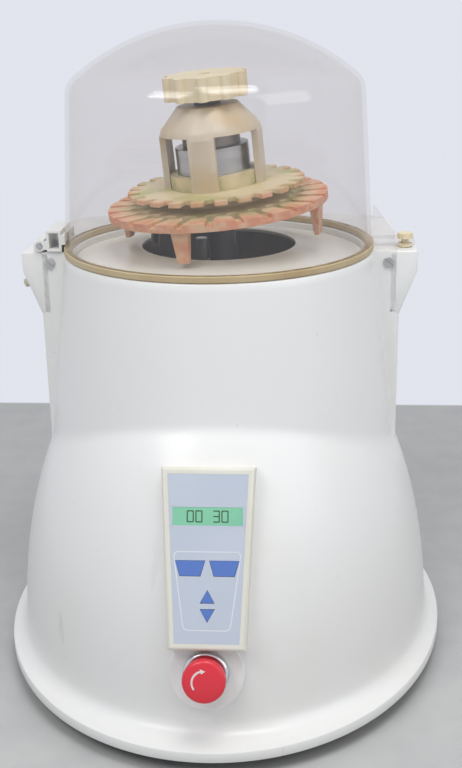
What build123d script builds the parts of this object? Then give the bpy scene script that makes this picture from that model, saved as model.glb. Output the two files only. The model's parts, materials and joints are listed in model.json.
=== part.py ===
from build123d import *
from math import atan, cos, radians, sin, sqrt
import os

os.makedirs("parts", exist_ok=True)

# Shell of the machine: flange, belly, tower and rear column
wall = 4.0
base_half_width = 192.5
base_half_depth = 237.5
flange_bottom = 13.0
flange_top = 22.0
belly_half_width = 180.0
belly_half_depth = 212.0
belly_height = 292.0
belly_centre_z = 24.0
rim_radius = 129.0
rim_z = 350.0
tower_draft = 0.12
tower_foot_z = 60.0
column_half_width = 150.0
column_front_y = -18.0
column_back_y = 145.0
column_corner = 38.0
ear_half_width = 164.0
ear_depth = 66.0
ear_side = 17.0
ear_slope = 36.0
bumper_radius = 3.6
bumper_height = 5.0
bumper_inset = 8.0
bumper_share = 0.272
screw_inset = 9.5
screw_radius = 4.4
screw_height = 1.6
screw_slot = 1.0

# Chamber floor and the well below it
ledge_depth = 8.5
ledge_width = 8.0
tray_radius = 120.7
tray_fit = 0.3
tray_thickness = 3.0
tray_hole_radius = 64.0
tray_rise = 9.0
well_floor_z = 296.0
well_radius = 108.5
well_thickness = 3.0

# Base pan, feet and inner frame
pan_inset = 5.5
pan_thickness = 3.0
foot_radius = 16.0
foot_x = 115.0
foot_y = 150.0
deck_z = 206.0
deck_thickness = 8.0
deck_radius = 96.0
column_post_radius = 8.0
column_post_circle = 82.0
motor_radius = 55.0
motor_length = 118.0
spindle_radius = 13.0
shaft_radius = 7.45
coupling_disc = 8.0
coupling_gap = 2.0
bearing_height = 12.0
bearing_gap = 4.0
spindle_neck_radius = 30.5
spindle_neck_top = 318.0
bearing_radial = 6.0
running_clearance = 0.05

# Wobbling rotor, measured along its leaning axis from the pivot
pivot_z = 388.0
lean = 5.2
lean_heading = 207.5
swash_head_radius = 20.0
swash_head_z = 321.0
swash_head_height = 14.0
journal_radius = 12.0
hub_bore = 17.0
hub_radius = 30.0
hub_flange_radius = 38.0
hub_flange_height = 8.0
hub_top = 48.0
hub_boss_radius = 23.5
hub_boss_height = 10.0
hub_skirt_bottom = -20.0
plate_radius = 91.0
plate_thickness = 6.5
plate_fit = 0.3
tube_count = 24
tube_hole_radius = 5.5
tube_circle = 67.0
groove_width = 6.0
groove_depth = 3.0
collar_radius = 40.0
collar_top_radius = 36.5
retainer_height = 12.0
collar_top = 27.0
leg_circle = 84.0
leg_length = 25.0
leg_width = 14.0
leg_depth = 8.0
leg_taper = 5.0
leg_phase = -16.0
retainer_thickness = 4.0
retainer_radius = 73.0
retainer_root = 63.0
retainer_tooth_width = 10.5
cage_top = 80.0
cage_shoulder = 63.0
cage_radius = 42.0
cage_top_radius = 25.0
cage_wall = 5.0
cage_band = 4.0
cage_arm_width = 21.5
cage_phase = -7.0
stud_radius = 5.0
washer_radius = 11.0
washer_thickness = 5.0
knob_height = 18.7
knob_core = 30.0
knob_lobes = 10
knob_lobe_radius = 4.2
knob_radius = 34.7
knob_gap = 0.3

# Anti-rotation fork and its pin
fork_radius = 48.5
fork_width = 22.0
fork_depth = 15.0
fork_top = 378.3
pin_radius = 3.0
pin_height = -16.5
pin_reach = 54.0
fork_slot_clearance = 3.0
fork_slot_depth = 20.0
post_x = -18.0
post_y = 34.0
post_radius = 5.0
post_height = 52.0

# Clear lid with its hinge and catch
dome_foot_radius = 127.6
dome_foot_z = 355.4
dome_shoulder_radius = 120.5
dome_shoulder_z = 476.0
dome_top = 532.0
dome_knuckle = 20.0
dome_wall = 3.5
gasket_width = 6.5
lid_gap = 0.3
hinge_x = -148.0
hinge_z = 355.5
hinge_length = 40.0
knuckle_radius = 4.8
hinge_pin_radius = 2.5
loop_wall = 2.2
loop_height = 17.5
loop_width = 12.5
tongue_z = 353.3
tongue_thickness = 3.3
tongue_width = 26.0
tongue_end = 162.0
gusset_height = 28.0
gusset_length = 21.0
catch_x = 154.5
catch_radius = 6.5
catch_pin_radius = 3.0
keeper_radius = 6.5
keeper_depth = 12.0

# Control box on the belly
panel_x = 2.5
panel_stop_gap = 7.4
panel_proud = 8.0
panel_tilt = 22.0
panel_height = 134.0
panel_top_width = 70.0
panel_bottom_width = 58.0
panel_depth = 26.0
panel_margin = 5.0
overlay_thickness = 1.0
window_width = 52.0
window_height = 13.5
window_up = 31.0
wide_key_top = 22.0
wide_key_foot = 15.0
wide_key_height = 11.2
arrow_key_width = 10.4
arrow_key_height = 9.2
key_clearance = 0.25
key_thickness = 1.3
key_travel = 0.4

# Stop button
stop_x = 1.0
stop_z = 73.0
stop_tilt = 15.0
stop_boss_radius = 29.0
stop_boss_proud = 2.0
stop_collar_radius = 17.5
stop_collar_height = 7.0
stop_barrel_radius = 11.0
stop_stem_radius = 7.0
stop_head_radius = 16.2
stop_head_height = 13.0
stop_travel = 4.0

# Rear service panel
service_half_width = 98.0
service_bottom = 242.0
service_top = 334.0
service_thickness = 2.5
fan_x = 48.0
fan_z = 288.0
fan_size = 74.0
fan_depth = 25.0
fan_bore = 34.5
fan_hub = 17.0
inlet_x = -40.0
inlet_z = 268.0
inlet_width = 48.0
inlet_height = 24.0
rocker_x = -82.0
rocker_width = 13.0
rocker_height = 20.0
rocker_pivot_radius = 2.6
fuse_z = 310.0
fuse_radius = 6.5
fuse_spacing = 30.0
guard_wire = 2.0
guard_step = 8.0

# Pieces on the base pan
supply_width = 110.0
supply_depth = 60.0
supply_height = 45.0
supply_inset = 87.5
board_width = 120.0
board_depth = 60.0
board_thickness = 2.0
board_lift = 10.0
board_inset = 107.5
board_hole_inset = 7.0
component_height = 20.0

# Planes and points worked out from the sizes above
plate_half = plate_thickness / 2
stop_y = -belly_half_depth * sqrt(1 - ((stop_z - belly_centre_z) / belly_height) ** 2)
panel_foot_z = stop_z + stop_collar_radius + panel_stop_gap
panel_z = panel_foot_z + panel_height / 2 * cos(radians(panel_tilt))
panel_y = -belly_half_depth * sqrt(1 - ((panel_z - belly_centre_z) / belly_height) ** 2) - panel_proud
stop_normal = (0, -cos(radians(stop_tilt)), sin(radians(stop_tilt)))
panel_normal = (0, -cos(radians(panel_tilt)), sin(radians(panel_tilt)))
lean_x = sin(radians(lean)) * cos(radians(lean_heading))
lean_y = sin(radians(lean)) * sin(radians(lean_heading))
lean_z = cos(radians(lean))
rotor_plane = Plane(origin=(0, 0, pivot_z), x_dir=(lean_z, 0, -lean_x), z_dir=(lean_x, lean_y, lean_z))
stop_plane = Plane(origin=(stop_x, stop_y, stop_z), x_dir=(1, 0, 0), z_dir=stop_normal)
panel_plane = Plane(origin=(panel_x, panel_y, panel_z), x_dir=(1, 0, 0), z_dir=panel_normal)
ledge_z = rim_z - ledge_depth
deck_top = deck_z + deck_thickness
pan_bottom = flange_bottom - pan_thickness


def finish(piece, name):
    """Labels one finished piece and writes its file."""
    piece.part.label = name
    export_step(piece.part, f"parts/{name}.step")


def tube_points(radius, phase=0.0):
    """Places one point per sample tube on a circle."""
    return PolarLocations(radius, tube_count, start_angle=phase)


# Moulded housing: one shell of flange, belly, tower, rear column and ears
def belly_solid(inset):
    """Half of an ellipsoid standing on the flange, drawn in by a wall."""
    with BuildPart() as belly:
        Sphere(radius=1)
        scale(by=(belly_half_width - inset, belly_half_depth - inset, belly_height - inset))
    return belly.part.moved(Location((0, 0, belly_centre_z)))


tower_foot_radius = rim_radius + tower_draft * (rim_z - tower_foot_z)
with BuildPart() as housing:
    add(belly_solid(0))
    with BuildSketch(Plane.XY.offset(flange_top)):
        Rectangle(4 * base_half_width, 4 * base_half_depth)
    extrude(amount=-2 * belly_height, mode=Mode.SUBTRACT)
    with BuildSketch(Plane.XZ):
        with BuildLine():
            Polyline((0, tower_foot_z), (tower_foot_radius, tower_foot_z), (rim_radius, rim_z), (0, rim_z), close=True)
        make_face()
    revolve(axis=Axis.Z)
    with BuildSketch(Plane.XY.offset(flange_top)):
        with Locations((0, (column_front_y + column_back_y) / 2)):
            column_outline = Rectangle(2 * column_half_width, column_back_y - column_front_y)
        fillet(column_outline.vertices().group_by(Axis.Y)[-1], column_corner)
    extrude(amount=rim_z - flange_top)
    with BuildSketch(Plane.XZ.offset(-column_front_y)):
        for side in (-1, 1):
            with BuildLine():
                Polyline(
                    (side * (column_half_width - 2 * wall), rim_z),
                    (side * ear_half_width, rim_z),
                    (side * ear_half_width, rim_z - ear_side),
                    (side * column_half_width, rim_z - ear_side - ear_slope),
                    (side * (column_half_width - 2 * wall), rim_z - ear_side - ear_slope),
                    close=True,
                )
            make_face()
    extrude(amount=-ear_depth)
    with BuildSketch(Plane.XY.offset(flange_bottom)):
        Ellipse(base_half_width, base_half_depth)
    extrude(amount=flange_top - flange_bottom)
    # Round boss that the stop button stands on
    with BuildSketch(stop_plane.offset(stop_boss_proud)):
        Circle(stop_boss_radius)
    extrude(amount=-3 * wall - stop_boss_proud)
    # Hollow inside
    with BuildSketch(Plane.XY.offset(flange_bottom)):
        Ellipse(belly_half_width - wall, belly_half_depth - wall)
    extrude(amount=belly_centre_z - flange_bottom, mode=Mode.SUBTRACT)
    add(
        split(belly_solid(wall), bisect_by=Plane.XY.offset(belly_centre_z), keep=Keep.TOP, mode=Mode.PRIVATE),
        mode=Mode.SUBTRACT,
    )
    with BuildSketch(Plane.XZ):
        with BuildLine():
            Polyline(
                (0, tower_foot_z),
                (tower_foot_radius - wall, tower_foot_z),
                (rim_radius - wall + tower_draft * (ledge_depth + wall), ledge_z - wall),
                (0, ledge_z - wall),
                close=True,
            )
        make_face()
    revolve(axis=Axis.Z, mode=Mode.SUBTRACT)
    with BuildSketch(Plane.XY.offset(flange_top)):
        with Locations((0, (column_front_y + column_back_y) / 2)):
            column_hollow = Rectangle(
                2 * (column_half_width - wall), column_back_y - column_front_y - 2 * wall
            )
        fillet(column_hollow.vertices().group_by(Axis.Y)[-1], column_corner - wall)
    extrude(amount=rim_z - wall - flange_top, mode=Mode.SUBTRACT)
    # Seat ring of the chamber floor, then its opening and recess
    with BuildSketch(Plane.XY.offset(ledge_z - wall)):
        Circle(tray_radius + ledge_width)
    extrude(amount=rim_z - ledge_z + wall)
    with BuildSketch(Plane.XY.offset(ledge_z - 2 * wall)):
        Circle(tray_radius - ledge_width)
    extrude(amount=ledge_depth + 3 * wall, mode=Mode.SUBTRACT)
    with BuildSketch(Plane.XY.offset(ledge_z)):
        Circle(tray_radius + tray_fit)
    extrude(amount=ledge_depth + wall, mode=Mode.SUBTRACT)
    # Openings for the control box, the stop button, the service panel and the keeper
    with BuildSketch(panel_plane.offset(3 * panel_depth)):
        with BuildLine():
            Polyline(
                (-panel_top_width / 2 - tray_fit, panel_height / 2 + tray_fit),
                (panel_top_width / 2 + tray_fit, panel_height / 2 + tray_fit),
                (panel_bottom_width / 2 + tray_fit, -panel_height / 2 - tray_fit),
                (-panel_bottom_width / 2 - tray_fit, -panel_height / 2 - tray_fit),
                close=True,
            )
        make_face()
    extrude(amount=-6 * panel_depth, mode=Mode.SUBTRACT)
    with BuildSketch(stop_plane.offset(stop_boss_proud)):
        Circle(stop_barrel_radius)
    extrude(amount=-10 * wall, mode=Mode.SUBTRACT)
    with BuildSketch(Plane.XZ.offset(-column_back_y)):
        with Locations((0, (service_bottom + service_top) / 2)):
            RectangleRounded(
                2 * service_half_width - 4 * wall, service_top - service_bottom - 4 * wall, wall
            )
    extrude(amount=2 * wall, both=True, mode=Mode.SUBTRACT)
    with Locations((catch_x, 0, rim_z)):
        Hole(radius=keeper_radius, depth=keeper_depth)
finish(housing, "housing")

# Base pan, rubber feet and their screws
with BuildPart() as base_pan:
    with BuildSketch(Plane.XY.offset(pan_bottom)):
        Ellipse(base_half_width - pan_inset, base_half_depth - pan_inset)
        with GridLocations(2 * foot_x, 2 * foot_y, 2, 2):
            Circle(foot_radius / 4, mode=Mode.SUBTRACT)
        with Locations((0, -base_half_depth / 2)):
            with GridLocations(0, 14, 1, 5):
                SlotOverall(70, 5, mode=Mode.SUBTRACT)
    extrude(amount=pan_thickness)
finish(base_pan, "base_pan")

with BuildPart() as feet:
    with BuildSketch():
        with GridLocations(2 * foot_x, 2 * foot_y, 2, 2):
            Circle(foot_radius)
    extrude(amount=pan_bottom)
    chamfer(feet.edges().group_by(Axis.Z)[0], 1.5)
    with BuildSketch(Plane.XY.offset(pan_bottom)):
        with GridLocations(2 * foot_x, 2 * foot_y, 2, 2):
            Circle(foot_radius / 4)
    extrude(amount=pan_thickness + 2)
finish(feet, "feet")

# Chamber floor: a crowned ring, and the dark well that hangs from it
with BuildPart() as tray:
    with BuildSketch(Plane.XZ):
        with BuildLine():
            Polyline(
                (tray_hole_radius, ledge_z + tray_rise),
                (tray_radius - ledge_width, ledge_z),
                (tray_radius, ledge_z),
                (tray_radius, ledge_z + tray_thickness),
            )
            Spline(
                (tray_radius, ledge_z + tray_thickness),
                ((tray_radius + tray_hole_radius) / 2, ledge_z + tray_thickness + 0.36 * tray_rise),
                (tray_hole_radius, ledge_z + tray_thickness + tray_rise),
            )
            Line((tray_hole_radius, ledge_z + tray_thickness + tray_rise), (tray_hole_radius, ledge_z + tray_rise))
        make_face()
    revolve(axis=Axis.Z)
finish(tray, "tray")

with BuildPart() as well:
    with BuildSketch(Plane.XZ):
        with BuildLine():
            Polyline(
                (spindle_neck_radius + tray_fit, well_floor_z),
                (well_radius - 14, well_floor_z),
                (well_radius, well_floor_z + 14),
                (well_radius, ledge_z + tray_fit),
                (well_radius - well_thickness, ledge_z + tray_fit),
                (well_radius - well_thickness, well_floor_z + 14 + well_thickness / 2),
                (well_radius - 14 - well_thickness / 2, well_floor_z + well_thickness),
                (spindle_neck_radius + tray_fit, well_floor_z + well_thickness),
                close=True,
            )
        make_face()
    revolve(axis=Axis.Z)
    # The rim follows the underside of the chamber floor
    add(tray.part, mode=Mode.SUBTRACT)
finish(well, "well")

# Inner frame: deck on three posts, with the motor below it
with BuildPart() as deck_plate:
    with BuildSketch(Plane.XY.offset(deck_z)):
        Circle(deck_radius)
        Circle(spindle_neck_radius - 8, mode=Mode.SUBTRACT)
    extrude(amount=deck_thickness)
finish(deck_plate, "deck_plate")

with BuildPart() as frame_posts:
    with BuildSketch(Plane.XY.offset(flange_bottom)):
        with PolarLocations(column_post_circle, 3, start_angle=90):
            Circle(column_post_radius)
    extrude(amount=deck_z - flange_bottom)
finish(frame_posts, "frame_posts")

with BuildPart() as motor_body:
    with BuildSketch(Plane.XY.offset(deck_z - motor_length)):
        Circle(motor_radius)
        Circle(shaft_radius + running_clearance, mode=Mode.SUBTRACT)
    extrude(amount=motor_length)
    with BuildSketch(Plane.XY.offset(deck_z - motor_length + 12)):
        with PolarLocations(motor_radius + 1, 18):
            Rectangle(5, 3)
    extrude(amount=motor_length - 30, mode=Mode.SUBTRACT)
finish(motor_body, "motor_body")

with BuildPart() as motor_shaft:
    with BuildSketch(Plane.XY.offset(deck_z - motor_length + 10)):
        Circle(shaft_radius)
    extrude(amount=motor_length + deck_thickness - coupling_gap)
finish(motor_shaft, "motor_shaft")

coupling_radius = spindle_neck_radius - bearing_radial - 8
coupling_top = deck_top + 3 * coupling_disc + coupling_gap
with BuildPart() as coupling:
    with BuildSketch(Plane.XY.offset(deck_top)):
        Circle(coupling_radius)
        Circle(shaft_radius, mode=Mode.SUBTRACT)
    extrude(amount=coupling_disc)
    with BuildSketch(Plane.XY.offset(deck_top + coupling_disc)):
        Circle(coupling_radius)
    extrude(amount=coupling_top - deck_top - coupling_disc)
    with BuildSketch(Plane.XY.offset(deck_top + 2 * coupling_disc)):
        Circle(spindle_neck_radius)
        Circle(coupling_radius - 3, mode=Mode.SUBTRACT)
    extrude(amount=coupling_gap, mode=Mode.SUBTRACT)
finish(coupling, "coupling")

# Upright spindle housing with its two bearings
bearing_outer = spindle_radius + bearing_radial
with BuildPart() as spindle_housing:
    with BuildSketch(Plane.XY.offset(deck_top)):
        Circle(spindle_neck_radius + 16)
        Circle(bearing_outer, mode=Mode.SUBTRACT)
    extrude(amount=8)
    with BuildSketch(Plane.XY.offset(deck_top + 8)):
        Circle(spindle_neck_radius)
        Circle(bearing_outer, mode=Mode.SUBTRACT)
    extrude(amount=spindle_neck_top - deck_top - 8)
    fillet(spindle_housing.edges().group_by(Axis.Z)[-1].sort_by(SortBy.RADIUS)[-1], 2)
finish(spindle_housing, "spindle_housing")

with BuildPart() as spindle_bearings:
    for bearing_z in (coupling_top + bearing_gap, spindle_neck_top - bearing_gap - bearing_height):
        with BuildSketch(Plane.XY.offset(bearing_z)):
            Circle(bearing_outer)
            Circle(spindle_radius + running_clearance, mode=Mode.SUBTRACT)
        extrude(amount=bearing_height)
finish(spindle_bearings, "spindle_bearings")

# Swash spindle: an upright shaft that ends in a leaning journal
with BuildPart() as swash_spindle:
    with BuildSketch(Plane.XY.offset(coupling_top)):
        Circle(spindle_radius)
    extrude(amount=swash_head_z - coupling_top)
    with BuildSketch(Plane.XY.offset(swash_head_z)):
        Circle(swash_head_radius)
    extrude(amount=swash_head_height)
    chamfer(swash_spindle.edges().group_by(Axis.Z)[-1], 2)
    with BuildSketch(rotor_plane.offset(swash_head_z - pivot_z + swash_head_height / 2)):
        Circle(journal_radius)
    extrude(amount=pivot_z - swash_head_z - swash_head_height / 2 + hub_top - 3)
finish(swash_spindle, "swash_spindle")

with BuildPart() as counterweight:
    with BuildSketch(Plane.XY.offset(swash_head_z)):
        Circle(swash_head_radius + 6)
        Circle(swash_head_radius, mode=Mode.SUBTRACT)
        with Locations(Location((0, 0), lean_heading)):
            Rectangle(
                2 * swash_head_radius,
                4 * swash_head_radius,
                align=(Align.MIN, Align.CENTER),
                mode=Mode.SUBTRACT,
            )
    extrude(amount=swash_head_height)
finish(counterweight, "counterweight")

# Rotor hub: steel sleeve, bearings, clamp stud and guide pin
with BuildPart() as hub_sleeve:
    with BuildSketch(rotor_plane.offset(hub_skirt_bottom)):
        Circle(hub_bore + 6)
    extrude(amount=-hub_skirt_bottom)
    with BuildSketch(rotor_plane.offset(-plate_half - hub_flange_height)):
        Circle(hub_flange_radius)
    extrude(amount=hub_flange_height)
    with BuildSketch(rotor_plane.offset(-plate_half)):
        Circle(hub_radius)
    extrude(amount=hub_top + plate_half)
    with BuildSketch(rotor_plane.offset(hub_skirt_bottom)):
        Circle(hub_bore)
    extrude(amount=hub_top - hub_skirt_bottom, mode=Mode.SUBTRACT)
finish(hub_sleeve, "hub_sleeve")

with BuildPart() as hub_cap:
    with BuildSketch(rotor_plane.offset(hub_top)):
        Circle(hub_boss_radius)
        Circle(stud_radius, mode=Mode.SUBTRACT)
    extrude(amount=hub_boss_height)
    chamfer(hub_cap.faces().sort_by(Axis(rotor_plane.origin, rotor_plane.z_dir))[-1].outer_wire().edges(), 2)
finish(hub_cap, "hub_cap")

with BuildPart() as hub_bearings:
    for bearing_height in (hub_skirt_bottom + 3, hub_top - 16):
        with BuildSketch(rotor_plane.offset(bearing_height)):
            Circle(hub_bore)
            Circle(journal_radius + running_clearance, mode=Mode.SUBTRACT)
        extrude(amount=10)
finish(hub_bearings, "hub_bearings")

knob_bottom = cage_top + washer_thickness + knob_gap
with BuildPart() as clamp_stud:
    with BuildSketch(rotor_plane.offset(hub_top)):
        Circle(stud_radius)
    extrude(amount=knob_bottom + knob_height - 2 - hub_top)
finish(clamp_stud, "clamp_stud")

pin_heading = lean_heading
pin_plane = Plane(
    origin=rotor_plane.from_local_coords(Vector(0, 0, pin_height)),
    x_dir=rotor_plane.z_dir,
    z_dir=rotor_plane.from_local_coords(
        Vector(cos(radians(pin_heading)), sin(radians(pin_heading)), 0)
    ) - rotor_plane.origin,
)
with BuildPart() as guide_pin:
    with BuildSketch(pin_plane.offset(hub_bore + 6)):
        Circle(pin_radius)
    extrude(amount=pin_reach - hub_bore - 6)
    fillet(guide_pin.edges().sort_by(Axis(pin_plane.origin, pin_plane.z_dir))[-1], 1)
finish(guide_pin, "guide_pin")

# Black fork that keeps the hub from turning, and the grey post beside it
fork_plane = Plane(
    origin=(0, 0, well_floor_z + well_thickness),
    x_dir=(cos(radians(pin_heading)), sin(radians(pin_heading)), 0),
    z_dir=(0, 0, 1),
)
fork_height = fork_top - well_floor_z - well_thickness
with BuildPart() as guide_fork:
    with BuildSketch(fork_plane):
        with Locations((fork_radius, 0)):
            Rectangle(fork_depth, fork_width)
    extrude(amount=fork_height)
    with BuildSketch(fork_plane):
        with Locations((fork_radius + 7, 0)):
            Rectangle(fork_depth + 14, fork_width + 12)
    extrude(amount=fork_height / 2)
    with BuildSketch(fork_plane.offset(fork_height)):
        with Locations((fork_radius, 0)):
            Rectangle(2 * fork_depth, 2 * pin_radius + 2 * fork_slot_clearance)
    extrude(amount=-fork_slot_depth, mode=Mode.SUBTRACT)
finish(guide_fork, "guide_fork")

with BuildPart() as guide_post:
    with BuildSketch(Plane.XY.offset(well_floor_z + well_thickness)):
        with Locations((post_x, post_y)):
            Circle(post_radius)
    extrude(amount=post_height)
finish(guide_post, "guide_post")

# Sample plate: tube holes, rim grooves, centre collar and four legs
with BuildPart() as sample_plate:
    with BuildSketch(rotor_plane.offset(-plate_half)):
        Circle(plate_radius)
        Circle(hub_radius + plate_fit, mode=Mode.SUBTRACT)
        with tube_points(tube_circle):
            Circle(tube_hole_radius, mode=Mode.SUBTRACT)
    extrude(amount=plate_thickness)
    with BuildSketch(rotor_plane.offset(plate_half)):
        with tube_points((plate_radius + tube_circle) / 2 + 4):
            Rectangle(plate_radius - tube_circle, groove_width)
    extrude(amount=-groove_depth, mode=Mode.SUBTRACT)
    with BuildSketch(rotor_plane.offset(plate_half)):
        Circle(collar_radius)
        Circle(hub_radius + plate_fit, mode=Mode.SUBTRACT)
    extrude(amount=retainer_height - plate_half)
    with BuildSketch(rotor_plane.offset(retainer_height)):
        Circle(collar_top_radius)
        Circle(hub_radius + plate_fit, mode=Mode.SUBTRACT)
    extrude(amount=collar_top - retainer_height)
    with BuildSketch(rotor_plane.offset(-plate_half)):
        with PolarLocations(leg_circle, 4, start_angle=leg_phase):
            Rectangle(leg_depth, leg_width)
    extrude(amount=-leg_length, taper=leg_taper)
finish(sample_plate, "sample_plate")

# Toothed retainer that closes over the tube caps
with BuildPart() as retainer_disc:
    with BuildSketch(rotor_plane.offset(retainer_height)):
        Circle(retainer_root)
        with tube_points((retainer_root + retainer_radius) / 2 - 3, 180 / tube_count):
            Rectangle(retainer_radius - retainer_root + 6, retainer_tooth_width)
        Circle(collar_top_radius + plate_fit, mode=Mode.SUBTRACT)
    extrude(amount=retainer_thickness)
finish(retainer_disc, "retainer_disc")

# Bell-shaped clamp cage with four arms
cage_foot = retainer_height + retainer_thickness
with BuildPart() as clamp_cage:
    with BuildSketch(Plane(origin=rotor_plane.origin, x_dir=rotor_plane.x_dir, z_dir=-rotor_plane.y_dir)):
        with BuildLine():
            Polyline(
                (stud_radius + 1, cage_top),
                (cage_top_radius, cage_top),
                (cage_radius - 2, cage_shoulder),
                (cage_radius, cage_shoulder - 6),
                (cage_radius, cage_foot),
                (cage_radius - cage_wall, cage_foot),
                (cage_radius - cage_wall, cage_shoulder - 7),
                (cage_top_radius - 2, cage_top - cage_wall),
                (stud_radius + 1, cage_top - cage_wall),
                close=True,
            )
        make_face()
    revolve(axis=Axis(rotor_plane.origin, rotor_plane.z_dir))
    with BuildSketch(rotor_plane.offset(cage_foot)):
        Circle(2 * cage_radius)
        for turn in (cage_phase, cage_phase + 90):
            Rectangle(5 * cage_radius, cage_arm_width, rotation=turn, mode=Mode.SUBTRACT)
    extrude(amount=cage_shoulder - cage_band - cage_foot, mode=Mode.SUBTRACT)
finish(clamp_cage, "clamp_cage")

# Thrust washer and lobed hand knob
with BuildPart() as thrust_washer:
    with BuildSketch(rotor_plane.offset(cage_top)):
        Circle(washer_radius)
        Circle(stud_radius + running_clearance, mode=Mode.SUBTRACT)
    extrude(amount=washer_thickness)
finish(thrust_washer, "thrust_washer")

with BuildPart() as clamp_knob:
    with BuildSketch(rotor_plane.offset(knob_bottom)):
        Circle(knob_core)
        with PolarLocations(knob_radius - knob_lobe_radius, knob_lobes, start_angle=-90):
            Circle(knob_lobe_radius)
        Circle(stud_radius + running_clearance, mode=Mode.SUBTRACT)
    extrude(amount=knob_height)
finish(clamp_knob, "clamp_knob")

# Clear dome and its tan gasket ring
dome_crown = dome_top - dome_shoulder_z


def dome_solid(inset):
    """Cone, rolled shoulder and shallow crown of the dome, drawn in by its wall."""
    radius = dome_shoulder_radius - inset
    knuckle = dome_knuckle - inset
    rise = dome_crown - inset
    flat = radius - knuckle
    crown_radius = (flat**2 + rise**2 - knuckle**2) / (2 * (rise - knuckle))
    centre_z = dome_shoulder_z + rise - crown_radius
    split_angle = atan(flat / (dome_shoulder_z - centre_z))
    half_angle = split_angle / 2
    bend = (radians(90) + split_angle) / 2
    join = (crown_radius * sin(split_angle), centre_z + crown_radius * cos(split_angle))
    with BuildPart() as solid:
        with BuildSketch(Plane.XZ):
            with BuildLine():
                Polyline(
                    (0, dome_shoulder_z + rise),
                    (0, dome_foot_z),
                    (dome_foot_radius - inset, dome_foot_z),
                    (radius, dome_shoulder_z),
                )
                ThreePointArc(
                    (radius, dome_shoulder_z),
                    (flat + knuckle * sin(bend), dome_shoulder_z + knuckle * cos(bend)),
                    join,
                )
                ThreePointArc(
                    join,
                    (crown_radius * sin(half_angle), centre_z + crown_radius * cos(half_angle)),
                    (0, dome_shoulder_z + rise),
                )
            make_face()
        revolve(axis=Axis.Z)
    return solid.part


with BuildPart() as dome:
    add(dome_solid(0))
    add(dome_solid(dome_wall), mode=Mode.SUBTRACT)
finish(dome, "dome")

with BuildPart() as dome_gasket:
    with BuildSketch(Plane.XY.offset(rim_z + lid_gap)):
        Circle(rim_radius - lid_gap)
        Circle(rim_radius - gasket_width, mode=Mode.SUBTRACT)
    extrude(amount=dome_foot_z - rim_z - lid_gap)
finish(dome_gasket, "dome_gasket")

# Hinge on the left ear: lid loop with two knuckles, fixed block and pin
loop_inner_x = -(rim_radius + 0.3)
loop_bottom = rim_z + 0.8
with BuildPart() as hinge_loop:
    with BuildSketch(Plane.XZ):
        with Locations((loop_inner_x - loop_width / 2, loop_bottom + loop_height / 2)):
            Rectangle(loop_width, loop_height)
            Rectangle(loop_width - 2 * loop_wall, loop_height - 2 * loop_wall, mode=Mode.SUBTRACT)
        with BuildLine():
            Polyline(
                (loop_inner_x - loop_width + 1, hinge_z + knuckle_radius - 1),
                (hinge_x, hinge_z + knuckle_radius - 1),
                (hinge_x, hinge_z - knuckle_radius + 1.5),
                (loop_inner_x - loop_width + 1, hinge_z - knuckle_radius + 1.5),
                close=True,
            )
        make_face()
        with Locations((hinge_x, hinge_z)):
            Circle(knuckle_radius)
            Circle(hinge_pin_radius + running_clearance, mode=Mode.SUBTRACT)
    extrude(amount=hinge_length / 2, both=True)
    with Locations((loop_inner_x + 3, 0, dome_foot_z + 5)):
        Box(8, hinge_length, 8)
    with Locations((0, 0, dome_foot_z)):
        Cylinder(dome_foot_radius + 0.05, 60, mode=Mode.SUBTRACT)
    with Locations((0, 0, rim_z)):
        Cylinder(rim_radius - lid_gap + 0.1, 2 * (dome_foot_z - rim_z) + 0.2, mode=Mode.SUBTRACT)
    with Locations((hinge_x - 1, 0, hinge_z)):
        Box(2 * knuckle_radius + 4, hinge_length / 2 + 1, 3 * knuckle_radius, mode=Mode.SUBTRACT)
finish(hinge_loop, "hinge_loop")

with BuildPart() as hinge_block:
    with BuildSketch(Plane.XZ):
        with BuildLine():
            Polyline(
                (hinge_x - knuckle_radius - 2, rim_z),
                (hinge_x + knuckle_radius, rim_z),
                (hinge_x + knuckle_radius, hinge_z),
                (hinge_x - knuckle_radius - 2, hinge_z),
                close=True,
            )
        make_face()
        with Locations((hinge_x, hinge_z)):
            Circle(knuckle_radius)
            Circle(hinge_pin_radius, mode=Mode.SUBTRACT)
    extrude(amount=hinge_length / 4, both=True)
finish(hinge_block, "hinge_block")

with BuildPart() as hinge_pin:
    with BuildSketch(Plane.XZ):
        with Locations((hinge_x, hinge_z)):
            Circle(hinge_pin_radius)
    extrude(amount=hinge_length / 2 + 1, both=True)
finish(hinge_pin, "hinge_pin")

# Catch on the right ear: clear tongue, gusset, catch knob and keeper
with BuildPart() as latch_tongue:
    with BuildSketch(Plane.XY.offset(tongue_z)):
        with Locations((rim_radius - 4, 0)):
            Rectangle(tongue_end - rim_radius + 4, tongue_width, align=(Align.MIN, Align.CENTER))
        Circle(rim_radius - lid_gap + 0.05, mode=Mode.SUBTRACT)
        with Locations((catch_x, 0)):
            Circle(catch_pin_radius + running_clearance, mode=Mode.SUBTRACT)
    extrude(amount=tongue_thickness)
    fillet(latch_tongue.edges().filter_by(Axis.Z).group_by(Axis.X)[-1], 5)
finish(latch_tongue, "latch_tongue")

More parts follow.
